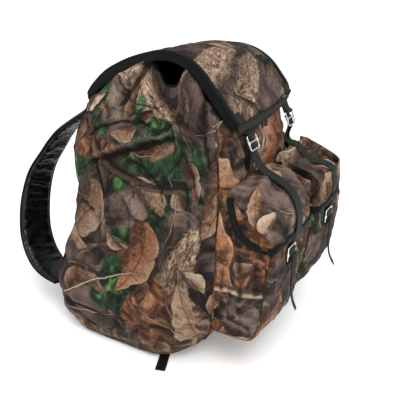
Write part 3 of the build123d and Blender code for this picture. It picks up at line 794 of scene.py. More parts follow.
def webbing_material(name, base, light, rib=0.0024, rough=(0.55, 0.75)):
    """Woven tape: ribs across it, a herringbone up it, and a little wear at the ribs."""
    m = bpy.data.materials.new(name)
    m.use_nodes = True
    t = m.node_tree
    t.nodes.clear()
    N = Nodes(t)
    out = N.add("ShaderNodeOutputMaterial")
    b = N.add("ShaderNodeBsdfPrincipled")
    N.put(out.inputs["Surface"], b.outputs[0])
    uv = N.add("ShaderNodeUVMap", uv_map="cloth").outputs[0]
    ux, uy, _ = N.xyz(uv)
    zig = N.math("PINGPONG", ux, 0.0022)
    ribs = N.math("SINE", N.math("MULTIPLY", N.math("ADD", uy, zig), 2 * math.pi / rib))
    cross = N.math("SINE", N.math("MULTIPLY", ux, 2 * math.pi / 0.0022))
    h = N.math("MULTIPLY_ADD", cross, 0.5, ribs)
    wear = N.noise(uv, 60.0, 3.0, 0.6)
    tone = N.math("MULTIPLY_ADD", ribs, 0.18, wear)
    N.put(b.inputs["Base Color"], N.mix(N.step(tone, 0.25, 0.8), base, light))
    N.put(b.inputs["Roughness"], N.step(wear, 0.3, 0.7, rough[0], rough[1]))
    b.inputs["Specular IOR Level"].default_value = 0.10
    b.inputs["Sheen Weight"].default_value = 0.02
    n1 = N.bump(h, 0.6, 0.0004)
    soft = N.noise(uv, 40.0, 2.0, 0.5)
    N.put(b.inputs["Normal"], N.bump(soft, 0.3, 0.0010, n1))
    return m


def nylon_material(name, base, light, rough=0.25):
    """Smooth coated nylon over padding, with small wrinkles."""
    m = bpy.data.materials.new(name)
    m.use_nodes = True
    t = m.node_tree
    t.nodes.clear()
    N = Nodes(t)
    out = N.add("ShaderNodeOutputMaterial")
    b = N.add("ShaderNodeBsdfPrincipled")
    N.put(out.inputs["Surface"], b.outputs[0])
    uv = N.add("ShaderNodeUVMap", uv_map="cloth").outputs[0]
    ux, uy, _ = N.xyz(uv)
    tone = N.noise(uv, 45.0, 3.0, 0.6)
    N.put(b.inputs["Base Color"], N.mix(N.step(tone, 0.3, 0.75), base, light))
    N.put(b.inputs["Roughness"], N.step(tone, 0.3, 0.7, rough - 0.05, rough + 0.1))
    b.inputs["Specular IOR Level"].default_value = 0.30
    b.inputs["Sheen Weight"].default_value = 0.0
    weave = N.math("MULTIPLY", N.math("SINE", N.math("MULTIPLY", ux, 2 * math.pi / 0.0008)), N.math("SINE", N.math("MULTIPLY", uy, 2 * math.pi / 0.0008)))
    n1 = N.bump(weave, 0.12, 0.0001)
    cr = N.noise(N.join(N.math("MULTIPLY", ux, 16.0), N.math("MULTIPLY", uy, 75.0), 0.0), 1.0, 3.0, 0.55, 1.0)
    n2 = N.bump(cr, 0.8, 0.0036, n1)
    N.put(b.inputs["Normal"], n2)
    return m


def metal_material(name):
    m = bpy.data.materials.new(name)
    m.use_nodes = True
    t = m.node_tree
    t.nodes.clear()
    N = Nodes(t)
    out = N.add("ShaderNodeOutputMaterial")
    b = N.add("ShaderNodeBsdfPrincipled")
    N.put(out.inputs["Surface"], b.outputs[0])
    pos = N.add("ShaderNodeTexCoord").outputs["Object"]
    n = N.noise(pos, 400.0, 3.0, 0.6)
    N.put(b.inputs["Base Color"], N.mix(N.step(n, 0.35, 0.8), rgba(226, 224, 218), rgba(190, 186, 176)))
    b.inputs["Metallic"].default_value = 1.0
    N.put(b.inputs["Roughness"], N.step(n, 0.3, 0.8, 0.16, 0.34))
    fine = N.noise(pos, 1500.0, 2.0, 0.5)
    N.put(b.inputs["Normal"], N.bump(fine, 0.1, 0.0001))
    return m


MAT = {}
MAT["side_l"] = camo_material("camo_side_left", (0.437, 0.22), 0.0, 0.62, -0.10, 0.35, 0.06)
MAT["side_r"] = camo_material("camo_side_right", (1.37, 0.92), 0.3, 0.1, 0.1, 0.2)
MAT["front"] = camo_material("camo_front", (2.17, 0.31), 0.2, 0.0, 0.25, 0.1)
MAT["back"] = camo_material("camo_back", (3.9, 1.7), -0.2, 0.1, 0.1, 0.2)
MAT["bottom"] = camo_material("camo_bottom", (4.9, 2.7), 0.9, 0.0, 0.1, 0.0, 0.2)
MAT["lid"] = camo_material("camo_lid", (5.31, 3.3), 0.7, -0.5, -0.75, 0.35, 0.06)
MAT["pocket_l"] = camo_material("camo_pocket_left", (6.2, 0.4), 0.1, -0.5, 0.75, -0.1)
MAT["pocket_r"] = camo_material("camo_pocket_right", (7.35, 1.15), 0.4, 1.25, -0.5, -0.2)
# the last number darkens the print; its 0.12 on the two gussets and on the far flap (flap_r) is painted shade
MAT["gusset_l"] = camo_material("camo_gusset_left", (8.2, 0.9), 0.2, -0.5, 0.5, -0.2, 0.12)
MAT["gusset_r"] = camo_material("camo_gusset_right", (8.9, 2.9), 0.5, 0.3, 0.2, -0.2, 0.12)
MAT["flap_l"] = camo_material("camo_flap_left", (9.4, 1.6), 0.6, -0.5, 0.55, -0.1)
MAT["flap_r"] = camo_material("camo_flap_right", (10.2, 2.2), 0.2, -0.5, 0.55, -0.2, 0.12)
MAT["webbing"] = webbing_material("webbing_dark_green", rgba(17, 19, 15), rgba(40, 42, 35))
MAT["binding"] = webbing_material("binding_black_green", rgba(3, 4, 4), rgba(12, 15, 13), 0.0016)
# black webbing; on the strap tails this black is painted shade, standing in for the green strap where it hangs in
# shadow
MAT["tail"] = webbing_material("black_webbing_and_tail_painted_shade", rgba(4, 4, 4), rgba(13, 15, 14))
MAT["nylon"] = nylon_material("padded_black_nylon", rgba(3, 4, 4), rgba(11, 13, 13))
MAT["nickel"] = metal_material("nickel_wire")
MAT["seam"] = camo_material("camo_seam", (2.4, 5.3), 0.9, 0.0, -0.2, -0.3, 0.45)
# near-black inner face: painted shade under the lid and the flaps
MAT["lining"] = nylon_material("black_lining", rgba(5, 5, 6), rgba(14, 14, 15), 0.62)
MAT["thread"] = webbing_material("dark_thread", rgba(18, 22, 19), rgba(46, 52, 46), 0.0008)


def finish_piece(o, mat, body, slot, *nodes, lining=False):
    o.data.materials.clear()
    o.data.materials.append(MAT[mat])
    if lining:
        # the inner face of the thickness takes near-black: painted shade for the dark under the lid and the flaps
        o.data.materials.append(MAT["lining"])
        o.modifiers["thickness"].material_offset = 1
    if body:
        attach(o, body)
    if nodes:
        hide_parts(*nodes)
    return o


# ======================================================================= sack
SACK = [
    (0, 191, -45, 170, 70),
    (12, 200, -61, 197, 60),
    (30, 208, -80, 213, 60),
    (60, 219, -109, 227, 74),
    (110, 222, -140, 229, 66),
    (180, 214, -147, 210, 58),
    (260, 208, -147, 191, 56),
    (320, 200, -147, 190, 50),
    (390, 186, -146, 202, 46),
    (425, 176, -141, 201, 48),
    (450, 168, -131, 197, 52),
    (480, 157, -114, 190, 54),
    (503, 146, -90, 166, 50),
    (522, 137, -69, 149, 48),
    (544, 126, -46, 123, 44),
    (556, 122, -42, 119, 42),
]
AXIS_Y, SLOPE = 42.0, 0.93
# the lid's outer side at its near end, its middle and its far end: y, z from the hinge to the front
NEAR = [(190, 489), (182, 502), (169, 518), (150, 537), (122, 556), (95, 570), (62, 583), (31, 592), (0, 592), (-24, 586), (-44, 574), (-74, 546), (-109, 508), (-130, 485)]
MID = [(187, 486), (181, 497), (172, 509), (152, 534), (122, 553), (92, 567), (58, 578), (20, 583), (-11, 583), (-41, 577), (-76, 557), (-105, 527), (-118, 508), (-128, 486)]
FAR = [(187, 486), (180, 497), (170, 507), (150, 530), (122, 548), (92, 560), (58, 568), (20, 571), (-11, 572), (-42, 566), (-74, 549), (-98, 525), (-114, 505), (-118, 494)]


def lid_top(x, y):
    """Height of the lid's outer side over a point."""
    near, mid, far = (np.interp(y, [p[0] for p in c[::-1]], [p[1] for p in c[::-1]]) for c in (NEAR, MID, FAR))
    w = np.clip(np.abs(x) / 131.0, 0, 1) ** 2
    return mid + np.where(x < 0, near - mid, far - mid) * w


def sack_rows(z):
    rows = np.array(SACK, float)
    return [pchip(rows[:, 0], rows[:, k], z) for k in range(1, 5)]


def ray_to_outline(dx, dy, hx, yf, yb, r):
    """Distance from the sack's axis to a rounded rectangle, along a direction."""
    lo, hi = np.zeros(np.shape(dx + hx)), np.full(np.shape(dx + hx), 700.0)
    yc, hy = (yf + yb) / 2, (yb - yf) / 2
    for _ in range(34):
        mid = (lo + hi) / 2
        x, y = dx * mid, AXIS_Y + dy * mid
        qx, qy = np.abs(x) - (hx - r), np.abs(y - yc) - (hy - r)
        d = np.hypot(np.maximum(qx, 0), np.maximum(qy, 0)) + np.minimum(np.maximum(qx, qy), 0) - r
        out = d > 0
        hi, lo = np.where(out, mid, hi), np.where(out, lo, mid)
    return (lo + hi) / 2


NSIDE, NFRONT = 124, 96
zs = np.r_[np.array([0.0, 1.2, 3.0, 5.5, 8.5]), np.linspace(12, 480, 144), np.linspace(483, 556, 26)]
SEAM_ROW = 5  # where the bottom panel ends
TOP_ROW = 5 + 144 - 1  # where the throat starts
dirs = []
for k in range(NSIDE):  # left side, back to front
    t = SLOPE - 2 * SLOPE * k / NSIDE
    dirs.append((-1.0, t))
for k in range(NFRONT):  # front, left to right
    t = -1 / SLOPE + 2 / SLOPE * k / NFRONT
    dirs.append((t, -1.0) if True else None)
for k in range(NSIDE):  # right side, front to back
    t = -SLOPE + 2 * SLOPE * k / NSIDE
    dirs.append((1.0, t))
for k in range(NFRONT):  # back, right to left
    t = 1 / SLOPE - 2 / SLOPE * k / NFRONT
    dirs.append((t, 1.0))
dirs = np.array(dirs, float)
NALL = len(dirs)
hx, yf, yb, rr = (v[:, None] for v in sack_rows(zs))
dist = ray_to_outline(dirs[None, :, 0], dirs[None, :, 1], hx, yf, yb, rr)
BASE = np.zeros((len(zs), NALL, 3))
BASE[..., 0] = dirs[None, :, 0] * dist
BASE[..., 1] = AXIS_Y + dirs[None, :, 1] * dist
BASE[..., 2] = zs[:, None]
X, Y, Z = BASE[..., 0].copy(), BASE[..., 1].copy(), BASE[..., 2].copy()
nrm = grid_normals(BASE, closed=True)
# outward
flip = np.sign((nrm[..., 0] * X + nrm[..., 1] * (Y - AXIS_Y)).mean())
nrm = nrm * flip
left_w = smoothstep(0.15, 0.75, -nrm[..., 0])
right_w = smoothstep(0.15, 0.75, nrm[..., 0])
front_w = smoothstep(0.15, 0.75, -nrm[..., 1])
back_w = smoothstep(0.15, 0.75, nrm[..., 1])
low = smoothstep(0, 45, Z)
D = np.zeros_like(X)
# fullness of the load in the two side panels
D += left_w * 7 * np.cos((Y - 40) / 190 * HALF_PI) * smoothstep(20, 140, Z) * (1 - smoothstep(330, 430, Z))
D += right_w * 7 * np.cos((Y - 40) / 190 * HALF_PI) * smoothstep(20, 140, Z) * (1 - smoothstep(330, 430, Z))
# lazy undulation and handling creases everywhere
D += 3.2 * low * fbm(X / 95, Y / 95, Z / 95, 3, 3)
ridge = 1 - np.abs(noise3(X / 60 + 0.7 * noise3(X / 40, Y / 40, Z / 40, 9), Y / 60, Z / 60, 21))
D += 2.4 * low * (ridge**4 - 0.35)
ridge2 = 1 - np.abs(noise3(X / 28, Y / 28 + 0.8 * noise3(X / 50, Y / 50, Z / 50, 5), Z / 34, 77))
D += 0.9 * low * (ridge2**5 - 0.2)


def side_folds(Y, Z):
    """The near side's folds, in the plane of the panel: y back to front, z up."""
    F = np.zeros_like(Y)

    def crease(pts, depth, w, lead=0.15, tail=0.25):
        d, s = along(Y, Z, pts)
        return -depth * np.exp(-np.abs(d) / w) * fade(s, lead, tail)

    def swell(pts, h, w, lead=0.2, tail=0.25):
        d, s = along(Y, Z, pts)
        return h * np.exp(-((d / w) ** 2)) * fade(s, lead, tail)

    # a slack roll of cloth across the side under the throat, hanging over its lower crease
    F += crease([(160, 415), (145, 434), (129, 445), (91, 462), (52, 468), (20, 456), (-8, 452)], 8.0, 4.0, 0.10, 0.20)
    F += swell([(158, 400), (128, 421), (100, 434), (70, 443), (40, 449), (10, 451), (-15, 455)], 11.0, 17.0, 0.15, 0.30)
    d, s = along(Y, Z, [(150, 376), (132, 386), (105, 400), (82, 411), (56, 422), (32, 433), (7, 444), (-13, 454), (-40, 456)])
    under = smoothstep(-1.6, 1.6, d)
    F -= (12.0 * np.exp(-np.maximum(d, 0) / 11.0)) * under * fade(s, 0.14, 0.18)
    F += 6.0 * np.exp(-((d + 6) / 8.0) ** 2) * (1 - under) * fade(s, 0.14, 0.2)
    # the throat's back part laps over the hollow in its middle
    d, s = along(Y, Z, [(36, 600), (45, 552), (70, 528), (93, 505), (115, 478), (122, 466)])
    lap = 1 - smoothstep(-2.0, 2.0, d)
    F -= 17.0 * lap * np.exp(np.minimum(d, 0) / 38.0) * (1 - smoothstep(0.72, 1.0, s))
    F += 8.0 * np.exp(-((d - 8) / 9.0) ** 2) * (1 - smoothstep(0.75, 1.0, s))
    # hollow between it and the upright fold
    ring = [(38, 540), (6, 524), (-21, 502), (-7, 462), (14, 448), (36, 470), (48, 506), (38, 540)]
    dd, _ = along(Y, Z, ring)
    F -= 14.0 * smoothstep(-12, 10, -np.abs(dd) * np.where(inside_polygon(Y, Z, ring), -1, 1))
    # pleats running into the hollow
    for pts, h, w in (
        ([(74, 500), (40, 480), (10, 462)], 4.0, 4.5),
        ([(88, 488), (60, 472), (30, 458)], -4.5, 3.6),
        ([(30, 534), (6, 502), (-10, 470)], -5.0, 5.0),
        ([(14, 545), (-6, 508), (-16, 478)], 4.0, 4.0),
        ([(60, 512), (34, 498), (8, 480)], -3.5, 3.2),
    ):
        F += swell(pts, h, w, 0.2, 0.2)
    # the upright fold in front, its edge standing over the hollow, with the valley behind the lid's edge
    d, s = along(Y, Z, [(-22, 600), (-22, 568), (-21, 545), (-18, 512), (-21, 482), (-27, 459), (-31, 443), (-44, 420)])
    wall = 1 - smoothstep(-2.0, 2.0, d)
    F += 14.0 * wall * np.clip(1 - (np.minimum(d, 0) / 36.0) ** 2, 0, 1) * (1 - smoothstep(0.70, 1.0, s))
    F -= 9.0 * (1 - wall) * np.exp(-np.maximum(d, 0) / 16.0) * (1 - smoothstep(0.62, 0.9, s))
    F += crease([(-45, 600), (-51, 567), (-63, 515), (-78, 473), (-91, 445), (-105, 418), (-120, 395)], 14.0, 5.5, 0.01, 0.22)
    F += swell([(-62, 600), (-68, 573), (-93, 526), (-120, 479), (-136, 419), (-134, 381)], 9.0, 9.0, 0.01, 0.30)
    F += swell([(-40, 560), (-48, 515), (-58, 478), (-72, 446)], 5.0, 7.0, 0.1, 0.3)
    # creases at the back edge, above the waist
    F += crease([(150, 446), (144, 422), (140, 399), (129, 380), (115, 359), (102, 332), (95, 312)], 8.0, 4.5, 0.15, 0.3)
    F += swell([(134, 420), (128, 399), (117, 380), (103, 359), (90, 332)], 5.0, 8.0, 0.15, 0.3)
    F += crease([(139, 512), (137, 479), (142, 451)], 6.0, 4.5, 0.2, 0.2)
    F += swell([(152, 500), (150, 475), (154, 448)], 4.0, 6.0, 0.2, 0.2)
    F += crease([(80, 404), (67, 401), (23, 392), (-20, 363), (-32, 320)], 7.5, 4.5, 0.2, 0.3)
    F += swell([(60, 385), (20, 374), (-14, 345)], 4.0, 10.0, 0.2, 0.3)
    for pts, h, w in (
        ([(178, 470), (168, 440), (172, 410)], -5.0, 6.0),
        ([(165, 480), (158, 455), (150, 441)], 4.0, 7.0),
        ([(-40, 440), (-60, 415), (-84, 380), (-100, 340)], -4.0, 6.0),
        ([(-60, 400), (-80, 330), (-90, 260)], -3.5, 7.0),
        ([(10, 420), (-20, 400), (-46, 372)], 3.5, 8.0),
        ([(185, 330), (150, 300), (110, 285)], -3.0, 8.0),
        ([(-100, 300), (-60, 240), (-40, 180)], 2.5, 12.0),
        ([(70, 350), (40, 300), (36, 240)], -2.5, 8.0),
        ([(215, 150), (150, 165), (90, 158)], -3.0, 9.0),
        ([(225, 90), (160, 75), (60, 70)], -3.0, 8.0),
        ([(-120, 120), (-60, 95), (20, 80)], -3.0, 9.0),
        ([(40, 140), (80, 100), (150, 40)], 2.5, 11.0),
    ):
        F += swell(pts, h, w, 0.25, 0.25)
    return F


def inside_polygon(a, b, ring):
    odd = np.zeros(np.shape(a), bool)
    for (x0, y0), (x1, y1) in zip(ring[:-1], ring[1:]):
        cross = ((y0 > b) != (y1 > b)) & (a < (x1 - x0) * (b - y0) / (y1 - y0 + 1e-9) + x0)
        odd ^= cross
    return odd


D += left_w * side_folds(Y, Z)
D += right_w * 0.9 * side_folds(Y + 14 * np.sin(Z / 60), Z - 6 * np.cos(Y / 50))
# front: slack cloth between the pockets and under the lid
fr = np.zeros_like(D)
for pts, h, w in (
    ([(-160, 420), (-60, 405), (20, 430)], -4.0, 8.0),
    ([(-40, 455), (0, 410), (-10, 340)], 5.0, 12.0),
    ([(30, 460), (45, 410), (20, 350)], -5.0, 9.0),
    ([(60, 450), (110, 420), (165, 400)], 4.0, 10.0),
    ([(-12, 380), (-5, 250), (-10, 130)], -4.0, 8.0),
    ([(-180, 80), (-60, 70), (60, 78), (170, 70)], -3.0, 9.0),
):
    dd, ss = along(X, Z, pts)
    fr += h * np.exp(-((dd / w) ** 2)) * fade(ss, 0.2, 0.2)
D += front_w * fr
bk = np.zeros_like(D)
for pts, h, w in (
    ([(-170, 200), (0, 215), (170, 195)], -4.0, 10.0),
    ([(-150, 330), (0, 345), (150, 325)], -3.0, 12.0),
    ([(-150, 130), (-60, 160), (60, 150), (160, 125)], 3.0, 12.0),
):
    dd, ss = along(X, Z, pts)
    bk += h * np.exp(-((dd / w) ** 2)) * fade(ss, 0.2, 0.2)
D += back_w * bk
# gathers at the throat
ang = np.cumsum(np.linalg.norm(np.diff(np.r_[BASE[TOP_ROW], BASE[TOP_ROW][:1]], axis=0), axis=1))
gath = np.sin(ang / 9.0 + 2.2 * np.sin(ang / 37.0))[None, :]
D += gath * 2.4 * smoothstep(500, 560, Z) * (1 - 0.5 * left_w)
D *= smoothstep(-1, 14, Z)
SACKP = BASE + nrm * D[..., None]
seams = np.zeros(SACKP.shape[:2], bool)
for c in (0, NSIDE, NSIDE + NFRONT, 2 * NSIDE + NFRONT):
    seams[:, c - 1 if c else 0 : c + 2] = True
seams |= (Z < 24) | (Z > 500)
SACKP = settle("sack_cloth_run", SACKP, 3, 6.0, 0.06, 0.3, True, seams)
# the far front corner is drawn back over its slack load
pull = np.interp(Z, [352, 378, 400, 440, 480, 540], [0, 14, 46, 34, 26, 0]) * smoothstep(50, 150, SACKP[..., 0])
SACKP[..., 1] += pull * (1 - smoothstep(-70, 60, SACKP[..., 1]))
# the sides' upper edge reaches up under the lid, with a dip in the middle where the load shows dark
lid_z = lid_top(SACKP[..., 0], SACKP[..., 1]) - 10.0
top_share = smoothstep(480, 556, Z)
rise = np.clip(lid_z - SACKP[..., 2], 0, 40) * top_share
dip = np.exp(-(((SACKP[..., 1] - 18) / 27.0) ** 4))
rise = rise * (1 - dip) - 24 * dip * top_share
side_w = np.maximum(left_w, right_w)
SACKP[..., 2] += rise * smoothstep(0.2, 0.8, side_w)
# nothing pokes through the lid
over = SACKP[..., 2] - lid_z
SACKP[..., 2] -= np.where((Z > 480) & (over > 0), over, 0)
SACKP[..., 2] = np.maximum(SACKP[..., 2], 0.0)

UVS = arc_uv(BASE, 70)


def sack_piece(name, r0, r1, c0, c1):
    cols = np.arange(c0, c1 + 1) % NALL
    P = SACKP[r0 : r1 + 1][:, cols]
    UV = UVS[r0 : r1 + 1][:, cols].copy()
    if c1 == NALL:
        UV[:, -1, 0] = UV[:, -2, 0] + 3.0
    return grid_object(name, P, UV, flip=False, thick=1.6, offset=-1.0)


ca, cb, cc, cd = 0, NSIDE, NSIDE + NFRONT, 2 * NSIDE + NFRONT
piece = sack_piece("sack_side_left", SEAM_ROW, TOP_ROW, ca, cb)
finish_piece(piece, "side_l", "pack", "camo_cloth", "side_panel_left")
piece = sack_piece("sack_front", SEAM_ROW, TOP_ROW, cb, cc)
finish_piece(piece, "front", "pack", "camo_cloth", "front_panel")
piece = sack_piece("sack_side_right", SEAM_ROW, TOP_ROW, cc, cd)
finish_piece(piece, "side_r", "pack", "camo_cloth", "side_panel_right")
piece = sack_piece("sack_back", SEAM_ROW, TOP_ROW, cd, NALL)
finish_piece(piece, "back", "pack", "camo_cloth", "back_panel", "back_foam")
# bottom: turned-up rim and the flat
rim = SACKP[: SEAM_ROW + 1]
flat = []
for k in np.linspace(0, 1, 16)[:-1]:
    ringp = SACKP[0].copy()
    ringp[:, 0] *= k
    ringp[:, 1] = AXIS_Y + (ringp[:, 1] - AXIS_Y) * k
    flat.append(ringp)
bottomP = np.concatenate([np.array(flat[1:]), rim])
bottomUV = bottomP[..., :2].copy()
bottom = mesh_object(
    "sack_bottom",
    np.concatenate([bottomP.reshape(-1, 3), [[0, AXIS_Y, 0]]]),
    grid_faces(len(bottomP), NALL, closed=True) + [(len(bottomP) * NALL, (j + 1) % NALL, j) for j in range(NALL)],
    np.concatenate([bottomUV.reshape(-1, 2), [[0, AXIS_Y]]]) * MM,
)
finish_piece(bottom, "bottom", "pack", "camo_cloth", "bottom_panel")
# throat sleeve: all round, from the seam to its hem
cols = np.arange(NALL)
throat_piece = grid_object("throat_sleeve", SACKP[TOP_ROW:][:, cols], UVS[TOP_ROW:][:, cols], closed=True, thick=1.2)
finish_piece(throat_piece, "side_l", "pack", "camo_cloth", "throat_skirt")

# ======================================================================== lid
NEAR_LOW = [(185, 477), (173, 491), (158, 506), (141, 521), (117, 539), (92, 552), (61, 566), (30, 577), (0, 578), (-20, 572), (-38, 560), (-66, 533), (-100, 497), (-123, 473)]
FAR_LOW = [(185, 477), (173, 488), (160, 499), (141, 517), (117, 534), (89, 546), (57, 554), (20, 557), (-8, 558), (-36, 552), (-64, 537), (-86, 516), (-101, 497), (-107, 482)]
NU, NV = 110, 78
pn, pm, pf = (smooth_path(p, NU) for p in (NEAR, MID, FAR))
v = np.linspace(-1, 1, NV)
wn, wf = np.where(v < 0, v * v, 0), np.where(v > 0, v * v, 0)
LIDP = np.zeros((NU, NV, 3))
for k in range(2):
    LIDP[..., 1 + k] = pm[:, None, k] * (1 - wn - wf) + pn[:, None, k] * wn + pf[:, None, k] * wf
LIDP[..., 0] = 131 * v[None, :]
ln = grid_normals(LIDP)
if ln[NU // 2, NV // 2, 2] < 0:
    ln = -ln
u = np.linspace(0, 1, NU)[:, None]
lx, ly, lzz = LIDP[..., 0], LIDP[..., 1], LIDP[..., 2]
inside = (1 - np.abs(v[None, :]) ** 6) * smoothstep(0, 0.06, u) * (1 - smoothstep(0.95, 1.0, u))
LD = 2.6 * fbm(lx / 80, ly / 80, lzz / 80, 41, 3)
lr = 1 - np.abs(noise3(lx / 75, ly / 42 + 0.6 * noise3(lx / 60, ly / 60, 0, 4), lzz / 50, 63))
LD += 2.6 * (lr**5 - 0.25)
for pts, h, w in (
    ([(-110, 560), (-40, 540), (60, 548), (120, 560)], -4.0, 8.0),
):
    pass
s_arc = np.r_[0, np.cumsum(np.linalg.norm(np.diff(pm, axis=0), axis=1))][:, None] * np.ones((1, NV))
for pts, h, w in (
    ([(-125, 250), (-60, 285), (30, 300)], -3.5, 9.0),
    ([(125, 300), (70, 330), (10, 372)], -4.0, 8.0),
    ([(128, 250), (80, 268), (20, 280)], 3.5, 10.0),
    ([(-60, 400), (-40, 350), (10, 300)], 3.0, 12.0),
    ([(-125, 150), (-40, 170), (60, 150)], 3.0, 14.0),
    ([(60, 120), (110, 140), (128, 150)], -3.0, 9.0),
):
    dd, ss = along(lx, s_arc, pts)
    LD += h * np.exp(-((dd / w) ** 2)) * fade(ss, 0.3, 0.3)
LIDP = LIDP + ln * (LD * inside)[..., None]
LIDP = settle("lid_cloth_run", LIDP, 2, 5.0, 0.05, 0.3)
lid = grid_object("lid_cloth", LIDP, arc_uv(LIDP, NU // 2), thick=2.2, offset=-1.0, flip=True)
finish_piece(lid, "lid", "lid", "camo_cloth", "lid_panel", lining=True)



def band_piece(name, U, L, out, thick, bulge=1.2, n_across=6, uv_len=None):
    """A tape between an upper and a lower edge line (n, 3), bowed outward along out."""
    n = len(U)
    out = np.broadcast_to(np.asarray(out, float), U.shape)
    ks = np.linspace(0, 1, n_across)
    ring = []
    for k in ks:
        ring.append(U * (1 - k) + L * k + out * (thick / 2 + bulge * math.sin(math.pi * k)))
    for k in ks[::-1]:
        ring.append(U * (1 - k) + L * k + out * (-thick / 2 + bulge * 0.6 * math.sin(math.pi * k)))
    verts = np.stack(ring, 1)
    m = verts.shape[1]
    faces = grid_faces(n, m, closed=True)
    faces.append(tuple(range(m)))
    faces.append(tuple(reversed(range((n - 1) * m, n * m))))
    s = np.r_[0, np.cumsum(np.linalg.norm(np.diff(U, axis=0), axis=1))]
    width = np.linalg.norm(U - L, axis=1).mean()
    uv = np.zeros((n, m, 2))
    uv[..., 1] = s[:, None]
    uv[..., 0] = np.r_[ks * width, width * 1.2 + ks * width][None, :]
    return mesh_object(name, verts.reshape(-1, 3), faces, uv.reshape(-1, 2) * MM)


def tube(name, pts, r, sides=8, closed=False):
    """A round tube through points (n, 3) in mm."""
    c = np.asarray(pts, float)
    n = len(c)
    t = np.roll(c, -1, 0) - np.roll(c, 1, 0) if closed else np.gradient(c, axis=0)
    t /= np.linalg.norm(t, axis=1, keepdims=True)
    ref = np.array([0.31, 0.17, 0.93])
    a = np.cross(t, ref)
    a /= np.linalg.norm(a, axis=1, keepdims=True)
    b = np.cross(t, a)
    r = np.broadcast_to(np.asarray(r, float), (n,))
    ang = np.arange(sides) * 2 * math.pi / sides
    verts = c[:, None] + r[:, None, None] * (a[:, None] * np.cos(ang)[None, :, None] + b[:, None] * np.sin(ang)[None, :, None])
    if closed:
        verts = np.concatenate([verts, verts[:1]])
        n += 1
        # one ring is shared
        faces = []
        for i in range(n - 1):
            for j in range(sides):
                p, q = (i % (n - 1)) * sides, ((i + 1) % (n - 1)) * sides
                faces.append((p + j, p + (j + 1) % sides, q + (j + 1) % sides, q + j))
        verts = verts[:-1]
    else:
        faces = grid_faces(n, sides, closed=True)
        faces.append(tuple(range(sides)))
        faces.append(tuple(reversed(range((n - 1) * sides, n * sides))))
    s = np.r_[0, np.cumsum(np.linalg.norm(np.diff(verts[:, 0], axis=0), axis=1))]
    uv = np.zeros((len(verts), sides, 2))
    uv[..., 1] = s[:, None]
    uv[..., 0] = ang[None, :] * 2
    return mesh_object(name, verts.reshape(-1, 3), faces, uv.reshape(-1, 2) * MM)


def stitches(name, pts, normal, pitch=4.2, length=2.7, r=0.42):
    """A row of thread along a line (n, 3), as one mesh of short rounded bars lying on the cloth."""
    c = np.asarray(pts, float)
    nn = np.broadcast_to(np.asarray(normal, float), c.shape)
    s = np.r_[0, np.cumsum(np.linalg.norm(np.diff(c, axis=0), axis=1))]
    verts, faces, uv = [], [], []
    at = pitch * 0.5
    while at + length < s[-1]:
        ks = np.linspace(at, at + length, 4)
        line = np.stack([np.interp(ks, s, c[:, k]) for k in range(3)], 1)
        up = np.stack([np.interp(ks, s, nn[:, k]) for k in range(3)], 1)
        up /= np.linalg.norm(up, axis=1, keepdims=True)
        t = line[-1] - line[0]
        t /= np.linalg.norm(t)
        side = np.cross(t, up)
        base = len(verts)
        for i in range(4):
            lift = (0.0, 0.5, 0.5, 0.0)[i] * r
            for q in range(6):
                an = q * math.pi / 3
                verts.append(line[i] + side[i] * math.cos(an) * r + up[i] * (math.sin(an) * r * 0.8 + lift))
                uv.append((at, q))
        for i in range(3):
            for q in range(6):
                faces.append((base + i * 6 + q, base + i * 6 + (q + 1) % 6, base + (i + 1) * 6 + (q + 1) % 6, base + (i + 1) * 6 + q))
        faces.append(tuple(base + q for q in range(6)))
        faces.append(tuple(base + 18 + q for q in reversed(range(6))))
        at += pitch
    return mesh_object(name, verts, faces, np.array(uv) * MM)


def flip_x(P):
    Q = np.array(P, float).copy()
    Q[..., 0] *= -1
    return Q


# ------------------------------------------------------------ lid's trimmings
NB = 90
for side, up_pts, low_pts, x_up, x_low in (
    ("left", NEAR, NEAR_LOW, -130.0, -132.5),
    ("right", FAR, FAR_LOW, 130.0, 132.5),
):
    up2, lo2 = smooth_path(up_pts, NB), smooth_path(low_pts, NB)
    U = np.c_[np.full(NB, x_up), up2]
    L = np.c_[np.full(NB, x_low), lo2]
    g = -1.0 if side == "left" else 1.0
    band = band_piece(f"lid_edge_binding_{side}", U, L, (g, 0, 0), 3.2, 1.6)
    finish_piece(band, "binding", "lid", "black_tape", f"lid_binding_{side}")
    # rolled top of the tape over the cloth's edge
    roll_c = U * 0.93 + L * 0.07
    roll_c[:, 0] -= g * 3.0
    rolled = []
    du = np.gradient(U[:, 1:], axis=0)
    du /= np.linalg.norm(du, axis=1, keepdims=True)
    nrm2 = np.c_[np.zeros(NB), -du[:, 1], du[:, 0]]
    nrm2 *= np.sign(nrm2[NB // 2, 2])
    over = np.stack([
        U + nrm2 * 1.6 + np.array([-g * 11.0, 0, 0]),
        U + nrm2 * 2.6 + np.array([-g * 5.0, 0, 0]),
        U + nrm2 * 2.2 + np.array([-g * 0.5, 0, 0]),
        U + nrm2 * 0.4 + np.array([g * 1.9, 0, 0]),
        U - nrm2 * 1.2 + np.array([g * 1.6, 0, 0]),
    ], 1)
    cap = grid_object(f"lid_edge_tape_{side}", over, arc_uv(over), thick=1.4, offset=0)
    finish_piece(cap, "binding", "lid", "black_tape")
    st = stitches(f"lid_edge_stitch_{side}", U + nrm2 * 2.7 + np.array([-g * 8.6, 0, 0]), nrm2)
    finish_piece(st, "thread", "lid", "black_tape")

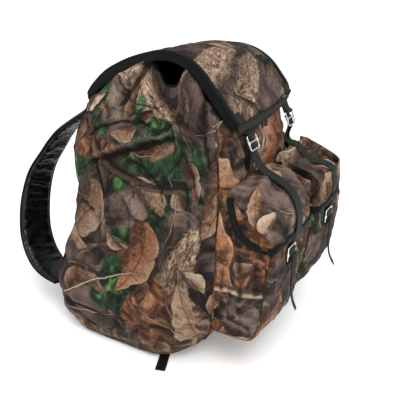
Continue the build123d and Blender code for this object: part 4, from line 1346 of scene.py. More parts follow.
# front tape
front_edge = LIDP[-1]
NT = len(front_edge)
tape_up = front_edge + np.array([0, -2.4, 1.5])
tape_low = front_edge.copy()
tape_low[:, 1] += np.interp(front_edge[:, 0], [-131, 20, 131], [-5.0, -4.5, 4.5]) + 1.2 * np.sin(front_edge[:, 0] / 31.0 + 1.0)
tape_low[:, 2] += -15.5 + 1.2 * np.sin(front_edge[:, 0] / 24.0)
tape_up[:, 0] *= 134.0 / 131.0
tape_low[:, 0] *= 134.0 / 131.0
tape = band_piece("lid_front_band", tape_up, tape_low, (0, -0.97, 0.2), 3.0, 0.8)
finish_piece(tape, "webbing", "lid", "webbing", "lid_front_tape")
for k, f in ((1, 0.16), (2, 0.84)):
    line = tape_up * (1 - f) + tape_low * f + np.array([0, -2.6, 0.3])
    st = stitches(f"lid_front_stitch_{k}", line, (0, -0.97, 0.2))
    finish_piece(st, "thread", "lid", "webbing")
# webbing patches folded over the lid's front corners
arc_mid = np.r_[0, np.cumsum(np.linalg.norm(np.diff(LIDP[:, NV // 2], axis=0), axis=1))]
lid_n = grid_normals(LIDP)
if lid_n[NU // 2, NV // 2, 2] < 0:
    lid_n = -lid_n
for side in ("left", "right"):
    want = np.linspace(-130, -102, 12) if side == "left" else np.linspace(102, 130, 12)
    rows = np.arange(NU - 7, NU)
    G = np.zeros((len(rows), len(want), 3))
    for i, r in enumerate(rows):
        for k in range(3):
            G[i, :, k] = np.interp(want, LIDP[r, :, 0], LIDP[r, :, k] + lid_n[r, :, k] * 1.7)
    patch = grid_object(f"lid_corner_patch_{side}", G, arc_uv(G)[..., ::-1].copy(), thick=1.5, offset=0)
    finish_piece(patch, "webbing", "lid", "webbing")
    rim = np.concatenate([G[:, 1], G[1, 1:-1], G[::-1, -2]]) if side == "left" else np.concatenate([G[:, -2], G[1, 1:-1][::-1], G[::-1, 1]])
    st = stitches(f"lid_corner_stitch_{side}", rim + np.array([0, -0.5, 0.8]), (0, -0.6, 0.8))
    finish_piece(st, "thread", "lid", "webbing")

# ------------------------------------------------------------------- buckles
TAB = {
    "left": [(-127.0, 478.0), (-131.5, 470.0), (-137.0, 469.2), (-142.8, 468.8), (-145.6, 465.8), (-142.8, 462.9), (-137.0, 464.4), (-130.5, 465.0)],
    "right": [(-119.0, 486.0), (-124.0, 474.0), (-131.0, 463.6), (-135.2, 462.0), (-136.4, 459.0), (-133.2, 456.6), (-130.0, 458.6), (-126.0, 465.0), (-120.0, 478.0)],
}
for side, g in (("left", -1.0), ("right", 1.0)):
    x = g * 100.0
    # tab: doubled webbing from the tape round the buckle's top wire
    tab = ribbon(
        f"lid_buckle_tab_{side}",
        [(x, y, z) for y, z in TAB[side]],
        26.0, 1.7, n=40,
    )
    finish_piece(tab, "webbing", "lid", "webbing", f"lid_tab_{side}")
    # loop that holds the pocket buckle
    zb = 262.0 - 13.5
    loop = ribbon(
        f"pocket_buckle_web_{side}",
        [(x, -237.2, 203.0), (x, -237.6, 215.0), (x, -239.0, 232.0), (x, -241.0, 243.0), (x, -245.4, 246.6), (x, -245.6, 250.0), (x, -242.5, 252.2), (x, -239.6, 249.5), (x, -238.6, 240.0), (x, -236.4, 226.0)],
        25.0, 1.5, n=44,
    )
    finish_piece(loop, "webbing", "pack", "webbing", f"pocket_buckle_loop_{side}")
    for k, z0 in enumerate((207.0, 222.0)):
        st = stitches(f"pocket_loop_stitch_{side}_{k}", [(x - 11, -238.9 - 0.1 * k, z0), (x, -239.1 - 0.1 * k, z0), (x + 11, -238.9 - 0.1 * k, z0)], (0, -1, 0), 3.2, 2.2)
        finish_piece(st, "thread", "pack", "webbing")

# --------------------------------------------------------------- pocket walls
POCKET_FRONT = [(108, -208), (114, -217), (124, -224), (160, -231), (210, -234), (270, -236), (330, -236), (392, -230)]
NZP, NCP = 56, 96


POCKET_FRONT_FAR = [(108, -198), (116, -208), (130, -216), (160, -225), (200, -231), (270, -236), (330, -236), (392, -230)]


def pocket_grid(g, seed):
    """One pocket's wall from its inner back edge round the front to its outer back edge: (z rows, columns)."""
    z_low = 108.0
    P = np.zeros((NZP, NCP, 3))
    for i in range(NZP):
        v = i / (NZP - 1)
        zz = z_low + 272 * v
        line = POCKET_FRONT if g < 0 else POCKET_FRONT_FAR
        yf = float(pchip([p[0] for p in line], [p[1] for p in line], zz))
        xo = 190 - 9 * float(smoothstep(270, 410, zz)) - (8 * (1 - float(smoothstep(108, 190, zz))) if g > 0 else 0)
        xi = 18.0
        rc = 5 + 15 * float(smoothstep(0, 0.12, v))
        pts = [(xi, -134.0)]
        pts += [(xi, -134 + (yf + rc + 134) * k) for k in np.linspace(0.12, 1, 14)]
        for a in np.linspace(0, HALF_PI, 9)[1:]:
            pts.append((xi + rc - rc * math.cos(a), yf + rc - rc * math.sin(a)))
        pts += [(xi + rc + (xo - xi - 2 * rc) * k, yf) for k in np.linspace(0, 1, 22)[1:]]
        for a in np.linspace(0, HALF_PI, 9)[1:]:
            pts.append((xo - rc + rc * math.sin(a), yf + rc - rc * math.cos(a)))
        pts += [(xo, yf + rc + (-134 - yf - rc) * k) for k in np.linspace(0, 1, 16)[1:]]
        p = np.array(pts)
        s = np.r_[0, np.cumsum(np.linalg.norm(np.diff(p, axis=0), axis=1))]
        # keep the corners on the same columns at every height
        marks = [0, s[14 + 4], s[14 + 8 + 21 + 4], s[-1]]
        cols = [0, 26, NCP - 27, NCP - 1]
        want = np.interp(np.arange(NCP), cols, marks)
        P[i, :, 0] = np.interp(want, s, p[:, 0])
        P[i, :, 1] = np.interp(want, s, p[:, 1])
        P[i, :, 2] = zz
    # the mouth slopes down to the front
    top = np.interp(P[-1, :, 1], [-238, -148], [352, 386])
    v = (P[..., 2] - z_low) / 272
    P[..., 2] = z_low + (top[None, :] - z_low) * v
    X, Y, Z = P[..., 0], P[..., 1], P[..., 2]
    nrm = grid_normals(P)
    if nrm[NZP // 2, NCP // 2, 1] > 0:
        nrm = -nrm
    fw = smoothstep(0.3, 0.8, -nrm[..., 1])
    ow = smoothstep(0.3, 0.8, nrm[..., 0])
    iw = smoothstep(0.3, 0.8, -nrm[..., 0])
    D = np.zeros_like(X)
    cxp = (X - 104) / 86
    # stuffed front, fullest low down, pulled in at the buckle's loop
    D += fw * 7.0 * (1 - cxp**2) * np.sin(np.clip((Z - 108) / 190, 0, 1) * math.pi) ** 0.8
    D -= fw * 4.5 * np.exp(-(((X - 100) / 22) ** 2 + ((Z - 214) / 26) ** 2))
    D += (ow + iw) * 5.0 * np.sin(np.clip((-Y - 140) / 90, 0, 1) * math.pi) * smoothstep(108, 150, Z)
    # dents that hang from the mouth, and creases running to the lower corners
    for pts, h, w, wt in (
        ([(150, 350), (158, 290), (150, 235)], -3.6, 8.0, fw),
        ([(60, 350), (52, 290), (64, 240)], -3.2, 8.0, fw),
        ([(176, 118), (150, 150), (120, 200)], -3.2, 8.0, fw),
        ([(30, 120), (60, 150), (84, 195)], -3.2, 8.0, fw),
        ([(130, 205), (150, 190), (180, 196)], -2.6, 7.0, fw),
        ([(28, 250), (60, 240), (84, 246)], 2.6, 9.0, fw),
        ([(120, 350), (124, 300), (118, 262)], 2.6, 9.0, fw),
        ([(40, 170), (100, 160), (170, 172)], 2.5, 12.0, fw),
    ):
        dd, ss = along(X, Z, pts)
        D += wt * h * np.exp(-((dd / w) ** 2)) * fade(ss, 0.2, 0.25)
    for pts, h, w in (
        ([(-160, 386), (-166, 300), (-160, 200), (-168, 120)], -5.0, 6.0),
        ([(-186, 380), (-184, 300), (-190, 200), (-186, 130)], 3.5, 8.0),
        ([(-206, 360), (-204, 280), (-210, 190)], -2.6, 6.0),
        ([(-140, 190), (-180, 178), (-222, 186)], -2.6, 8.0),
        ([(-140, 140), (-180, 150), (-224, 134)], 2.4, 8.0),
    ):
        dd, ss = along(Y, Z, pts)
        D += (ow + iw) * h * np.exp(-((dd / w) ** 2)) * fade(ss, 0.15, 0.2)
    strap_dent = fw * np.exp(-(((X - 100) / 25) ** 4 + ((Z - 264) / 25) ** 4))
    D -= 4.8 * strap_dent
    calm = 1 - 0.85 * strap_dent
    D += 1.8 * calm * fbm(X / 55 + seed, Y / 55, Z / 55, 11 + seed, 3)
    rg = 1 - np.abs(noise3(X / 34 + seed, Y / 30, Z / 44 + 0.5 * noise3(X / 40, Y / 40, Z / 40, 8), 31 + seed))
    D += 1.6 * calm * (rg**4 - 0.3)
    D *= smoothstep(-0.01, 0.05, v)
    P = P + nrm * D[..., None]
    P[..., 1] = np.minimum(P[..., 1], -128)
    if g < 0:
        P = flip_x(P)
    return P


POCKETS = {}
for side, g, seed in (("left", -1.0, 0), ("right", 1.0, 5)):
    P = pocket_grid(g, seed)
    under_strap = (np.abs(P[..., 0] - g * 100) < 20) & (P[..., 1] < -200)
    under_strap[:, (25, 26, 27, NCP - 28, NCP - 27, NCP - 26)] = True
    P = settle(f"pocket_cloth_run_{side}", P, 2, 5.0, 0.06, 0.3 * g, held=under_strap)
    POCKETS[side] = P
    flip = g < 0
    c_in, c_out = 26, NCP - 27
    UV = arc_uv(P, 20)
    front = grid_object(f"pocket_face_{side}", P[:, c_in : c_out + 1], UV[:, c_in : c_out + 1], flip=not flip, thick=1.6, offset=-1.0)
    finish_piece(front, "pocket_l" if g < 0 else "pocket_r", "pack", "camo_cloth", f"pocket_front_{side}")
    # gusset: inner wall, underside and outer wall, as three pieces
    inner_wall = P[:, : c_in + 1]
    outer_wall = P[:, c_out:]
    gus_in = grid_object(f"pocket_gusset_inner_{side}", inner_wall, arc_uv(inner_wall, 20), flip=not flip, thick=1.6, offset=-1.0)
    finish_piece(gus_in, "gusset_l" if g < 0 else "gusset_r", "pack", "camo_cloth", f"pocket_gusset_{side}")
    gus_out = grid_object(f"pocket_gusset_outer_{side}", outer_wall, arc_uv(outer_wall, 20), flip=not flip, thick=1.6, offset=-1.0)
    finish_piece(gus_out, "gusset_l" if g < 0 else "gusset_r", "pack", "camo_cloth")
    low = P[0]
    back_line = low.copy()
    back_line[:, 1] = -134.0
    ks = np.linspace(0, 1, 14)[:, None, None]
    under = low[None] * (1 - ks) + back_line[None] * ks
    under[..., 2] += (5.0 * np.sin(math.pi * ks[:, :, 0]) * -0.5)
    und = grid_object(f"pocket_underside_{side}", under, under[..., :2].copy(), flip=flip, thick=1.6, offset=-1.0)
    finish_piece(und, "gusset_l" if g < 0 else "gusset_r", "pack", "camo_cloth")
    # turned seams at the two front corners and along the lower edge
    for k, col in ((0, c_in), (1, c_out)):
        seam = tube(f"pocket_seam_{side}_{k}", P[:, col] + np.array([g * (1.0 if k else -1.0), -1.0, 0]), 1.7)
        finish_piece(seam, "seam", "pack", "camo_cloth")
    seam = tube(f"pocket_seam_low_{side}", P[0, c_in : c_out + 1] + np.array([0, -0.5, -0.3]), 1.8)
    finish_piece(seam, "seam", "pack", "camo_cloth")
    for k, cc_ in ((0, c_in + 3), (1, c_out - 3)):
        line = P[2:-2, cc_]
        st = stitches(f"pocket_stitch_{side}_{k}", line + np.array([0, -0.5, 0]), (0, -1, 0))
        finish_piece(st, "thread", "pack", "camo_cloth")

# --------------------------------------------------------------- pocket flaps
FLAP_TOP = [(-150.5, 393), (-158, 397), (-168, 399), (-182, 399), (-202, 394), (-224, 381), (-240, 361), (-248, 338), (-249.5, 318), (-247, 299)]
FLAP_SIDE = [(-150.5, 388), (-153, 374), (-158, 352), (-166, 330), (-178, 313), (-190, 305), (-202, 300), (-216, 297), (-230, 296), (-241, 296)]
# the far flap lies lower and squarer over its load: crest by the strap, crest at the outer end, hem there
FAR_TOP = [(-149, 394), (-156, 394), (-168, 381), (-185, 372), (-205, 371), (-228, 369), (-241, 364), (-246, 345), (-249, 322), (-247, 299)]
FAR_IN = [(-149, 396), (-157, 397), (-170, 389), (-185, 384), (-205, 381), (-226, 375), (-240, 363), (-247, 342), (-249, 320), (-247, 299)]
FAR_END = [(-147, 384), (-153, 378), (-163, 367), (-177, 355), (-196, 338), (-205, 325), (-209, 312), (-211, 303)]
FAR_HEM = [(-150, 377), (-153, 366), (-158, 350), (-164, 332), (-176, 316), (-188, 307), (-199, 303), (-205, 301), (-210, 300)]
NUF, NVF = 64, 72


def flap_grid(g, seed):
    T, H = smooth_path(FLAP_TOP, NUF), smooth_path(FLAP_SIDE, NUF)
    u = np.linspace(0, 1, NUF)
    P = np.zeros((NUF, NVF, 3))
    a = np.linspace(-HALF_PI, HALF_PI, NVF)
    ex = 0.58
    sx = np.sign(a) * np.abs(np.sin(a)) ** ex
    lift = np.abs(np.cos(a)) ** 0.50
    hw = 92.0 - 7.0 * smoothstep(0.82, 1.0, u)
    for i in range(NUF):
        P[i, :, 0] = 104 + hw[i] * sx
        P[i, :, 1] = H[i, 0] + (T[i, 0] - H[i, 0]) * lift
        P[i, :, 2] = H[i, 1] + (T[i, 1] - H[i, 1]) * lift
    if g > 0:
        top, inn, end, hem = (smooth_path(c, NUF) for c in (FAR_TOP, FAR_IN, FAR_END, FAR_HEM))
        ni, no = 10, 10
        for j in range(NVF):
            if j < ni:
                k = j / ni
                x, c = 13 + 5 * math.sin(k * HALF_PI), H + (inn - H) * math.sin(k * HALF_PI)
            elif j < NVF - no:
                k = (j - ni) / (NVF - no - 1 - ni)
                x = 18 + 168 * k
                w_in = 1 - float(smoothstep(22, 92, x))
                w_out = float(np.clip((x - 96) / 90.0, 0, 1)) ** 2.0
                c = top * (1 - w_in - w_out) + inn * w_in + end * w_out
            else:
                k = (j - (NVF - no - 1)) / no
                x, c = 186 + 6 * math.sin(k * HALF_PI), end + (hem - end) * (1 - math.cos(k * HALF_PI))
            P[:, j, 0] = x
            P[:, j, 1:] = c
        P = blur(P, 1)
    X, Y, Z = P[..., 0], P[..., 1], P[..., 2]
    nrm = grid_normals(P)
    if nrm[NUF // 2, NVF // 2, 1] > 0:
        nrm = -nrm
    D = 2.0 * fbm(X / 50 + seed, Y / 50, Z / 50, 51 + seed, 3)
    rg = 1 - np.abs(noise3(X / 42 + seed, Y / 30, Z / 30, 71 + seed))
    D += 2.4 * (rg**5 - 0.25)
    # ridge across the top where the cloth folds over what is inside, dents either side of the strap
    uu = np.broadcast_to(u[:, None], X.shape)
    for pts, h, w in (
        ([(196, 0.30), (150, 0.26), (112, 0.20), (60, 0.30), (14, 0.26)], 5.0, 0.055),
        ([(190, 0.42), (140, 0.38), (104, 0.36), (50, 0.42)], -4.0, 0.06),
        ([(100, 0.12), (140, 0.16), (188, 0.14)], -4.0, 0.05),
        ([(160, 0.95), (150, 0.75), (160, 0.55)], -3.0, 0.04),
        ([(52, 0.95), (60, 0.78), (50, 0.58)], -3.0, 0.04),
    ):
        px = [(p[0] / 190.0, p[1]) for p in pts]
        dd, ss = along(X / 190.0, uu, px)
        D += h * np.exp(-((dd / w) ** 2)) * fade(ss, 0.2, 0.2)
    D -= 3.2 * np.exp(-(((X - 100) / 17) ** 2)) * smoothstep(0.1, 0.3, uu)
    edge = smoothstep(0, 0.06, uu) * (1 - smoothstep(0.93, 1.0, uu)) * (1 - np.abs(np.sin(a))[None, :] ** 24)
    P = P + nrm * (D * edge)[..., None]
    if g < 0:
        P = flip_x(P)
    return P


FLAPS = {}
for side, g, seed in (("left", -1.0, 0), ("right", 1.0, 4)):
    P = flap_grid(g, seed)
    P = settle(f"flap_cloth_run_{side}", P, 2, 4.0, 0.06, 0.3 * g, held=np.abs(P[..., 0] - g * 100) < 19)
    FLAPS[side] = P
    flap = grid_object(f"flap_hood_{side}", P, arc_uv(P, NUF // 2), flip=(g > 0), thick=2.0, offset=-1.0)
    finish_piece(flap, "flap_l" if g < 0 else "flap_r", f"{side}_flap", "camo_cloth", f"pocket_flap_{side}", lining=True)
    # binding round the three free edges
    near_edge, far_edge, hem = P[:, -1], P[:, 0], P[-1]
    rim = np.concatenate([far_edge[3:-1], hem, near_edge[::-1][1:-3]])
    cen = np.array([g * 104.0, -150.0, 400.0])
    s = np.r_[0, np.cumsum(np.linalg.norm(np.diff(rim, axis=0), axis=1))]
    keep = np.linspace(0, s[-1], 150)
    rim = np.stack([np.interp(keep, s, rim[:, k]) for k in range(3)], 1)
    # inward along the cloth, found from the grid one step in
    k_in = 7
    rim_in = np.concatenate([P[3:-1, 2], P[-1 - 4], P[::-1, -3][1:-3]])
    s2 = np.r_[0, np.cumsum(np.linalg.norm(np.diff(rim_in, axis=0), axis=1))]
    rim_in = np.stack([np.interp(np.linspace(0, s2[-1], 150), s2, rim_in[:, k]) for k in range(3)], 1)
    inward = rim_in - rim
    inward[:, 0] *= 0.35
    inward /= np.linalg.norm(inward, axis=1, keepdims=True)
    tan = np.gradient(rim, axis=0)
    tan /= np.linalg.norm(tan, axis=1, keepdims=True)
    inward -= (inward * tan).sum(1, keepdims=True) * tan
    inward /= np.linalg.norm(inward, axis=1, keepdims=True)
    out = np.cross(tan, inward)
    if ((rim - cen) * out).sum() < 0:
        out = -out
    tape = band_piece(f"flap_edge_tape_{side}", rim + inward * 11.5 + out * 1.4, rim - inward * 1.5 + out * 0.4, out, 4.2, 0.9)
    finish_piece(tape, "binding", f"{side}_flap", "black_tape", f"flap_binding_{side}")
    st = stitches(f"flap_edge_stitch_{side}", rim + inward * 9.6 + out * 4.2, out)
    finish_piece(st, "thread", f"{side}_flap", "black_tape")

# ------------------------------------------------- webbing over lid and flaps
def strap_with_hinge(name, pts, side, width=26.0, thick=1.8, n=150):
    o = ribbon(name, pts, width, thick, n=n)
    return o


def over_cloth(P, x, y_from=-157.0, every=4):
    """Points just outside a flap, down its column at x, from behind the back seam to the hem."""
    nrm = grid_normals(P)
    if nrm[len(P) // 2, P.shape[1] // 2, 1] > 0:
        nrm = -nrm
    pts = []
    for i in range(0, len(P) - 1, every):
        j = int(np.argmin(np.abs(P[i, :, 0] - x)))
        near = np.abs(P[i, :, 0] - x) < 11
        n = nrm[i, j] * np.array([0, 1, 1])
        n = n / np.linalg.norm(n)
        rise = float(((P[i, near] - P[i, j]) @ n).max())
        q = P[i, j] + n * (1.4 + 0.8 * rise)
        if q[1] < y_from:
            pts.append((x, float(q[1]), float(q[2])))
    return pts


for side, g in (("left", -1.0), ("right", 1.0)):
    x = g * 100.0
    if side == "left":
        main = [
            (x, -139.0, 457.5), (x, -143.0, 452.0), (x, -149.5, 440.5), (x, -154.0, 431.0), (x, -160.0, 421.0), (x, -167.0, 412.0),
            (x - 0.8, -176.0, 405.8), (x - 1.6, -188.0, 402.0), (x - 1.4, -203.0, 396.4), (x - 0.6, -226.5, 383.2),
            (x, -243.2, 362.0), (x, -250.6, 339.0), (x, -251.8, 318.0), (x, -250.9, 305.0),
        ]
    else:
        main = [(x, -130.0, 452.0), (x, -135.6, 447.0), (x, -139.6, 437.0), (x, -137.0, 421.0), (x, -135.6, 407.0), (x, -140.0, 400.2), (x, -150.0, 398.4)]
        main += over_cloth(FLAPS[side], x)
    # threaded: behind the frame's top wire, over the bar, out over the lower wire
    main += [
        (x, -249.8, 295.0), (x, -246.4, 286.0), (x, -241.6, 279.6), (x, -239.8, 275.6), (x, -240.8, 272.8), (x, -243.0, 271.7),
        (x, -244.8, 269.4), (x, -245.1, 264.0), (x, -245.7, 258.0), (x, -247.4, 252.6), (x, -247.9, 248.6),
    ]
    strap = strap_with_hinge(f"front_web_{side}", main, side, n=300)
    finish_piece(strap, "webbing", None, "webbing", f"front_strap_{side}", f"flap_strap_{side}")
    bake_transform(strap) if side == "left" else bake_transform(strap)
    # loose end below the pocket buckle, in the black webbing: painted shade on the green strap's tail
    tail = ribbon(
        f"flap_web_tail_{side}",
        [(x, -248.2, 259.0), (x, -249.6, 250.0), (x + g * 1.0, -250.5, 225.0), (x + g * 2.0, -251.0, 200.0), (x + g * 3.0, -253.0, 180.0), (x + g * 5.0, -259.0, 163.0), (x + g * 7.0, -266.0, 152.0)],
        23.0, 1.6, wide=[(1, 0, 0), (1, 0, 0), (1, 0.25, 0), (1, 0.5, 0)], n=70,
    )
    finish_piece(tail, "tail", f"{side}_flap", "webbing")
    # loose end of the lid's strap, hanging beside it, in the black webbing: painted shade on the green strap's tail
    if side == "left":
        xt = x - 13.0
        hang = [(xt + 3, -141.0, 459.0), (xt + 1, -145.0, 450.0), (xt, -148.5, 440.0), (xt - 1, -149.5, 428.0), (xt - 1, -148.3, 414.0), (xt - 1, -146.8, 405.0)]
        turn = [(1, 0, 0), (0.8, 0.5, 0), (0.7, 0.7, 0)]
    else:
        xt = x + 5.0
        hang = [(xt, -140.0, 437.5), (xt, -141.6, 432.5), (xt, -140.4, 424.0), (xt + 2, -134.0, 408.0), (xt + 3, -133.0, 390.0), (xt + 4, -140.0, 378.0)]
        turn = [(1, 0, 0), (0.8, 0.5, 0), (0.6, 0.7, 0)]
    lt = ribbon(f"front_web_tail_{side}", hang, 20.0, 1.6, wide=turn, n=44)
    finish_piece(lt, "tail", "pack", "webbing")

# ------------------------------------------------------------ shoulder straps
SHOULDER = [
    (-75, 204, 463), (-75, 209, 449), (-76, 221, 436), (-79, 244, 418), (-85, 280, 386), (-95, 310, 338), (-105, 332, 294),
    (-112, 344, 243), (-120, 345, 193), (-128, 337, 150), (-138, 315, 115), (-150, 281, 95), (-158, 250, 90), (-163, 222, 90),
]


def shoulder_strap(side, g):
    n, k = 190, 34
    c = smooth_path(SHOULDER, n)
    t = np.gradient(c, axis=0)
    t /= np.linalg.norm(t, axis=1, keepdims=True)
    share = np.linspace(0, 1, n)
    twist = np.radians(np.interp(share, [0, 0.15, 0.35, 0.6, 0.85, 1.0], [0, 2, 8, 16, 20, 8]))
    w = np.stack([np.cos(twist), -np.sin(twist), np.zeros(n)], 1)
    w -= (w * t).sum(1, keepdims=True) * t
    w /= np.linalg.norm(w, axis=1, keepdims=True)
    nr = np.cross(t, w)
    nr /= np.linalg.norm(nr, axis=1, keepdims=True)
    if nr[n // 2, 1] > 0:
        nr = -nr  # towards the pack
    s = np.r_[0, np.cumsum(np.linalg.norm(np.diff(c, axis=0), axis=1))]
    half = 36.5
    fat = 6.0 * smoothstep(0, 0.06, share) * (1 - 0.75 * smoothstep(0.93, 1.0, share)) + 1.2
    a = np.linspace(-1, 1, k)
    face = np.clip(1 - (np.abs(a) / 0.90) ** 6, 0, 1) ** 0.5
    rows = []
    wr = np.zeros((n, k))
    sn = s[:, None]
    an = a[None, :]
    # creases across the body side, bunched where the strap bends most
    bunch = np.interp(share, [0, 0.25, 0.4, 0.6, 0.8, 0.95, 1], [0.25, 0.35, 0.9, 1.0, 0.9, 0.5, 0.2])[:, None]
    wobble = 7.0 * noise3(an * 1.3 + 3, sn / 55.0, 0.5, 12) + 3.0 * noise3(an * 3.1, sn / 30.0, 2.5, 14)
    for wl, amp, sd in ((31.0, 3.2, 0.0), (17.0, 2.3, 1.7), (9.5, 0.9, 0.4)):
        ph = (sn + wobble * (wl / 22.0) + 10.0 * an * np.sin(sn / 70.0 + sd)) / wl
        gate = 0.5 + 0.5 * noise3(an * 1.1 + sd, sn / 48.0, sd, 22)
        wr += amp * gate * (1 - 2 * np.abs(np.sin(math.pi * ph)) ** 0.55)
    wr *= bunch * face[None, :]
    body = c[:, None] + w[:, None] * (a * half)[None, :, None] + nr[:, None] * ((fat[:, None] * face[None, :] + 0.9) + wr)[..., None]
    back = c[:, None] + w[:, None] * (a[::-1] * half)[None, :, None] - nr[:, None] * ((fat[:, None] * 0.85 * face[None, ::-1] + 0.9) - 0.3 * wr[:, ::-1])[..., None]
    V = np.concatenate([body, back], 1)
    if g > 0:
        V = flip_x(V)
    m = V.shape[1]
    faces = grid_faces(n, m, closed=True, flip=(g > 0))
    e0, e1 = tuple(range(m)), tuple(reversed(range((n - 1) * m, n * m)))
    faces += [e0, e1] if g < 0 else [e0[::-1], e1[::-1]]
    uv = np.zeros((n, m, 2))
    uv[..., 1] = s[:, None]
    uv[..., 0] = np.r_[a * half, 2.2 * half + a * half][None, :]
    o = mesh_object(f"shoulder_pad_{side}", V.reshape(-1, 3), faces, uv.reshape(-1, 2) * MM)
    finish_piece(o, "nylon", "pack", "black_padding", f"shoulder_strap_{side}")
    # edge tape stitched down both sides
    for q, sg in ((0, -1.0), (1, 1.0)):
        edge = c + w * (sg * (half - 0.5))
        edge = flip_x(edge) if g > 0 else edge
        rail = tube(f"shoulder_edge_{side}_{q}", edge, 1.9, 8)
        finish_piece(rail, "binding", "pack", "black_padding")
        line = c + w * (sg * (half - 5.0)) + nr * 1.6
        nn = nr.copy()
        if g > 0:
            line, nn = flip_x(line), flip_x(nn)
        st = stitches(f"shoulder_stitch_{side}_{q}", line[6:-6], nn[6:-6], 4.5, 3.0, 0.4)
        finish_piece(st, "thread", "pack", "black_padding")
    # webbing down the outer face, with its adjuster
    wl = c[92:] - nr[92:] * (fat[92:, None] * 0.85 + 2.4)
    wl = flip_x(wl) if g > 0 else wl
    ww = flip_x(w[92:]) if g > 0 else w[92:]
    web = ribbon(f"shoulder_web_{side}", wl, 26.0, 1.8, wide=ww, n=90)
    finish_piece(web, "tail", "pack", "webbing", f"strap_webbing_{side}")
    return o


for side, g in (("left", -1.0), ("right", 1.0)):
    shoulder_strap(side, g)

# haul loop, sewn patch behind it
arch = [(-40, 199.5, 454), (-33, 203.5, 454), (-24, 212, 454.5), (-12, 219.5, 455), (0, 221.8, 455), (12, 219.5, 455), (24, 212, 454.5), (33, 203.5, 454), (40, 199.5, 454)]
haul = ribbon("haul_handle", arch, 24.0, 2.2, wide=(0, 0, 1), n=60)
finish_piece(haul, "tail", "pack", "webbing", "haul_loop")
pc = np.linspace(-116, 116, 50)
pz = np.linspace(424, 472, 14)
G = np.zeros((len(pz), len(pc), 3))
G[..., 0], G[..., 2] = pc[None, :], pz[:, None]
G[..., 1] = sack_rows(pz)[2][:, None] + 1.8 + 0.8 * noise3(pc[None, :] / 20, pz[:, None] / 20, 0, 3)
patch = grid_object("strap_anchor_patch", G, arc_uv(G)[..., ::-1].copy(), thick=1.6, offset=0, flip=True)
finish_piece(patch, "binding", "pack", "black_tape", "strap_patch")
for k, zz in enumerate((428, 468)):
    st = stitches(f"patch_stitch_{k}", np.stack([pc, np.interp(pc, pc, G[1 if k == 0 else -2, :, 1]) + 1.0, np.full(len(pc), float(zz))], 1), (0, 1, 0))
    finish_piece(st, "thread", "pack", "black_tape")

# lash straps lying out from under the bottom
for side, g in (("left", -1.0), ("right", 1.0)):
    a = math.radians(19.4)
    d = np.array([math.cos(a), math.sin(a)])
    cpt = np.array([-195.0, -37.0])
    pts = []
    for k, zz in zip(np.linspace(35, -36, 7), (4.0, 3.0, 2.0, 1.6, 2.6, 3.0, 2.4)):
        q = cpt + d * k
        pts.append((-g * q[0] if g > 0 else q[0], q[1] + 0.8 * math.sin(k / 17.0), zz))
    lash = ribbon(f"lash_web_{side}", pts, 20.0, 1.7, wide=(-math.sin(a) * (1 if g < 0 else -1), math.cos(a), 0.0), n=50)
    finish_piece(lash, "tail", "pack", "webbing", f"lash_strap_{side}")

# throat hem: a dark tunnel tape along the sleeve's edge, and its eyelets stay
hem_line = SACKP[-1]
hem_in = SACKP[-3]
hn = np.cross(np.roll(hem_line, -1, 0) - np.roll(hem_line, 1, 0), hem_line - hem_in)
hn /= np.linalg.norm(hn, axis=1, keepdims=True)
if (hn[:, :2] * (hem_line[:, :2] - np.array([0, AXIS_Y]))).sum() < 0:
    hn = -hn
hem = tube("throat_hem_roll", hem_line - hn * 1.0, 2.6, 8, closed=True)
finish_piece(hem, "binding", "pack", "black_tape", "throat_hem")

# upright seams of the sack, turned
for k, col in enumerate((ca, cb, cc, cd)):
    line = SACKP[SEAM_ROW : TOP_ROW + 1, col % NALL]
    c2 = line[:, :2] - np.array([0, AXIS_Y])
    outw = np.c_[c2 / np.linalg.norm(c2, axis=1, keepdims=True), np.zeros(len(line))]
    seam = tube(f"sack_seam_{k}", line + outw * 0.9, 1.9)
    finish_piece(seam, "seam", "pack", "camo_cloth")
base_line = SACKP[SEAM_ROW]
seam = tube("sack_seam_base", base_line, 1.7, closed=True)
finish_piece(seam, "bottom", "pack", "camo_cloth")

# ============================================================ camera and light
def camera():
    az, el, roll = (math.radians(a) for a in (-62.4477, 23.5856, 3.2114))
    back = Vector((math.sin(az) * math.cos(el), -math.cos(az) * math.cos(el), math.sin(el)))
    right = Vector((math.cos(az), math.sin(az), 0))
    up = back.cross(right)
    r2 = right * math.cos(roll) + up * math.sin(roll)
    u2 = up * math.cos(roll) - right * math.sin(roll)
    pos = Vector((-1.2552, 2.4563, 267.0072)) * MM + back * 1.481975
    cam = bpy.data.cameras.new("camera")
    cam.sensor_width = 36
    cam.lens = 713.3816 / 400 * 36
    cam.clip_start, cam.clip_end = 0.05, 60
    o = bpy.data.objects.new("camera", cam)
    SCENE.collection.objects.link(o)
    o.matrix_world = Matrix(((r2.x, u2.x, back.x, pos.x), (r2.y, u2.y, back.y, pos.y), (r2.z, u2.z, back.z, pos.z), (0, 0, 0, 1)))
    SCENE.camera = o
    return o


camera()
SCENE.view_settings.view_transform = "Standard"

world = bpy.data.worlds.new("studio")
SCENE.world = world
world.use_nodes = True
world.node_tree.nodes["Background"].inputs[0].default_value = (1.0, 1.0, 1.0, 1)
world.node_tree.nodes["Background"].inputs[1].default_value = 0.70


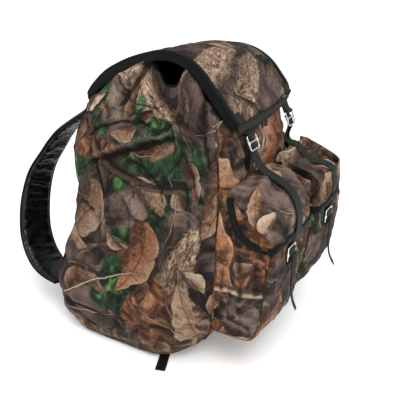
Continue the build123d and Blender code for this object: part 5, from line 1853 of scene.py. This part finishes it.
def area_light(name, pos, target, size, power, color=(1, 1, 1)):
    l = bpy.data.lights.new(name, "AREA")
    l.shape = "RECTANGLE"
    l.size, l.size_y = size
    l.energy = power
    l.color = color
    o = bpy.data.objects.new(name, l)
    SCENE.collection.objects.link(o)
    d = (Vector(target) - Vector(pos)).normalized()
    o.rotation_euler = d.to_track_quat("-Z", "Y").to_euler()
    o.location = pos
    return o


area_light("key", (-1.6, -1.1, 2.0), (0, 0, 0.25), (0.9, 0.9), 34)
area_light("fill", (0.6, -2.0, 1.0), (0, 0, 0.25), (1.6, 1.2), 7)
sun = bpy.data.lights.new("sky", "SUN")
sun.energy = 1.35
sun.angle = math.radians(50)
sun_o = bpy.data.objects.new("sky", sun)
sun_o.rotation_euler = Vector((0.42, 0.12, -1.0)).to_track_quat("-Z", "Y").to_euler()
sun_o.location = (-1.0, -0.3, 3.0)
SCENE.collection.objects.link(sun_o)

fm = bpy.data.materials.new("pale_floor")
fm.use_nodes = True
fb = fm.node_tree.nodes["Principled BSDF"]
fb.inputs["Base Color"].default_value = (0.92, 0.92, 0.92, 1)
fb.inputs["Roughness"].default_value = 0.9
fb.inputs["Emission Color"].default_value = (1, 1, 1, 1)
fb.inputs["Emission Strength"].default_value = 0.12
FN = Nodes(fm.node_tree)
fpos = FN.add("ShaderNodeTexCoord").outputs["Object"]
FN.put(fb.inputs["Base Color"], FN.mix(FN.noise(fpos, 3.0, 2.0, 0.5), (0.965, 0.965, 0.965, 1), (0.985, 0.985, 0.985, 1)))
bm = bmesh.new()
bmesh.ops.create_grid(bm, x_segments=4, y_segments=4, size=8)
fme = bpy.data.meshes.new("floor")
bm.to_mesh(fme)
bm.free()
floor = bpy.data.objects.new("floor", fme)
floor.location = (0, 0, -0.0004)
fme.materials.append(fm)
SCENE.collection.objects.link(floor)
floor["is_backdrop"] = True

# CAD nodes that are the real shape keep it and take the metal
for name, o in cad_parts.items():
    if o.hide_render:
        continue
    kind = "nickel" if any(k in name for k in ("buckle_left", "buckle_right", "crossbar", "adjuster", "eyelets")) and "loop" not in name else "webbing"
    o.data.materials.clear()
    o.data.materials.append(MAT[kind])

lo2, hi2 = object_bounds()
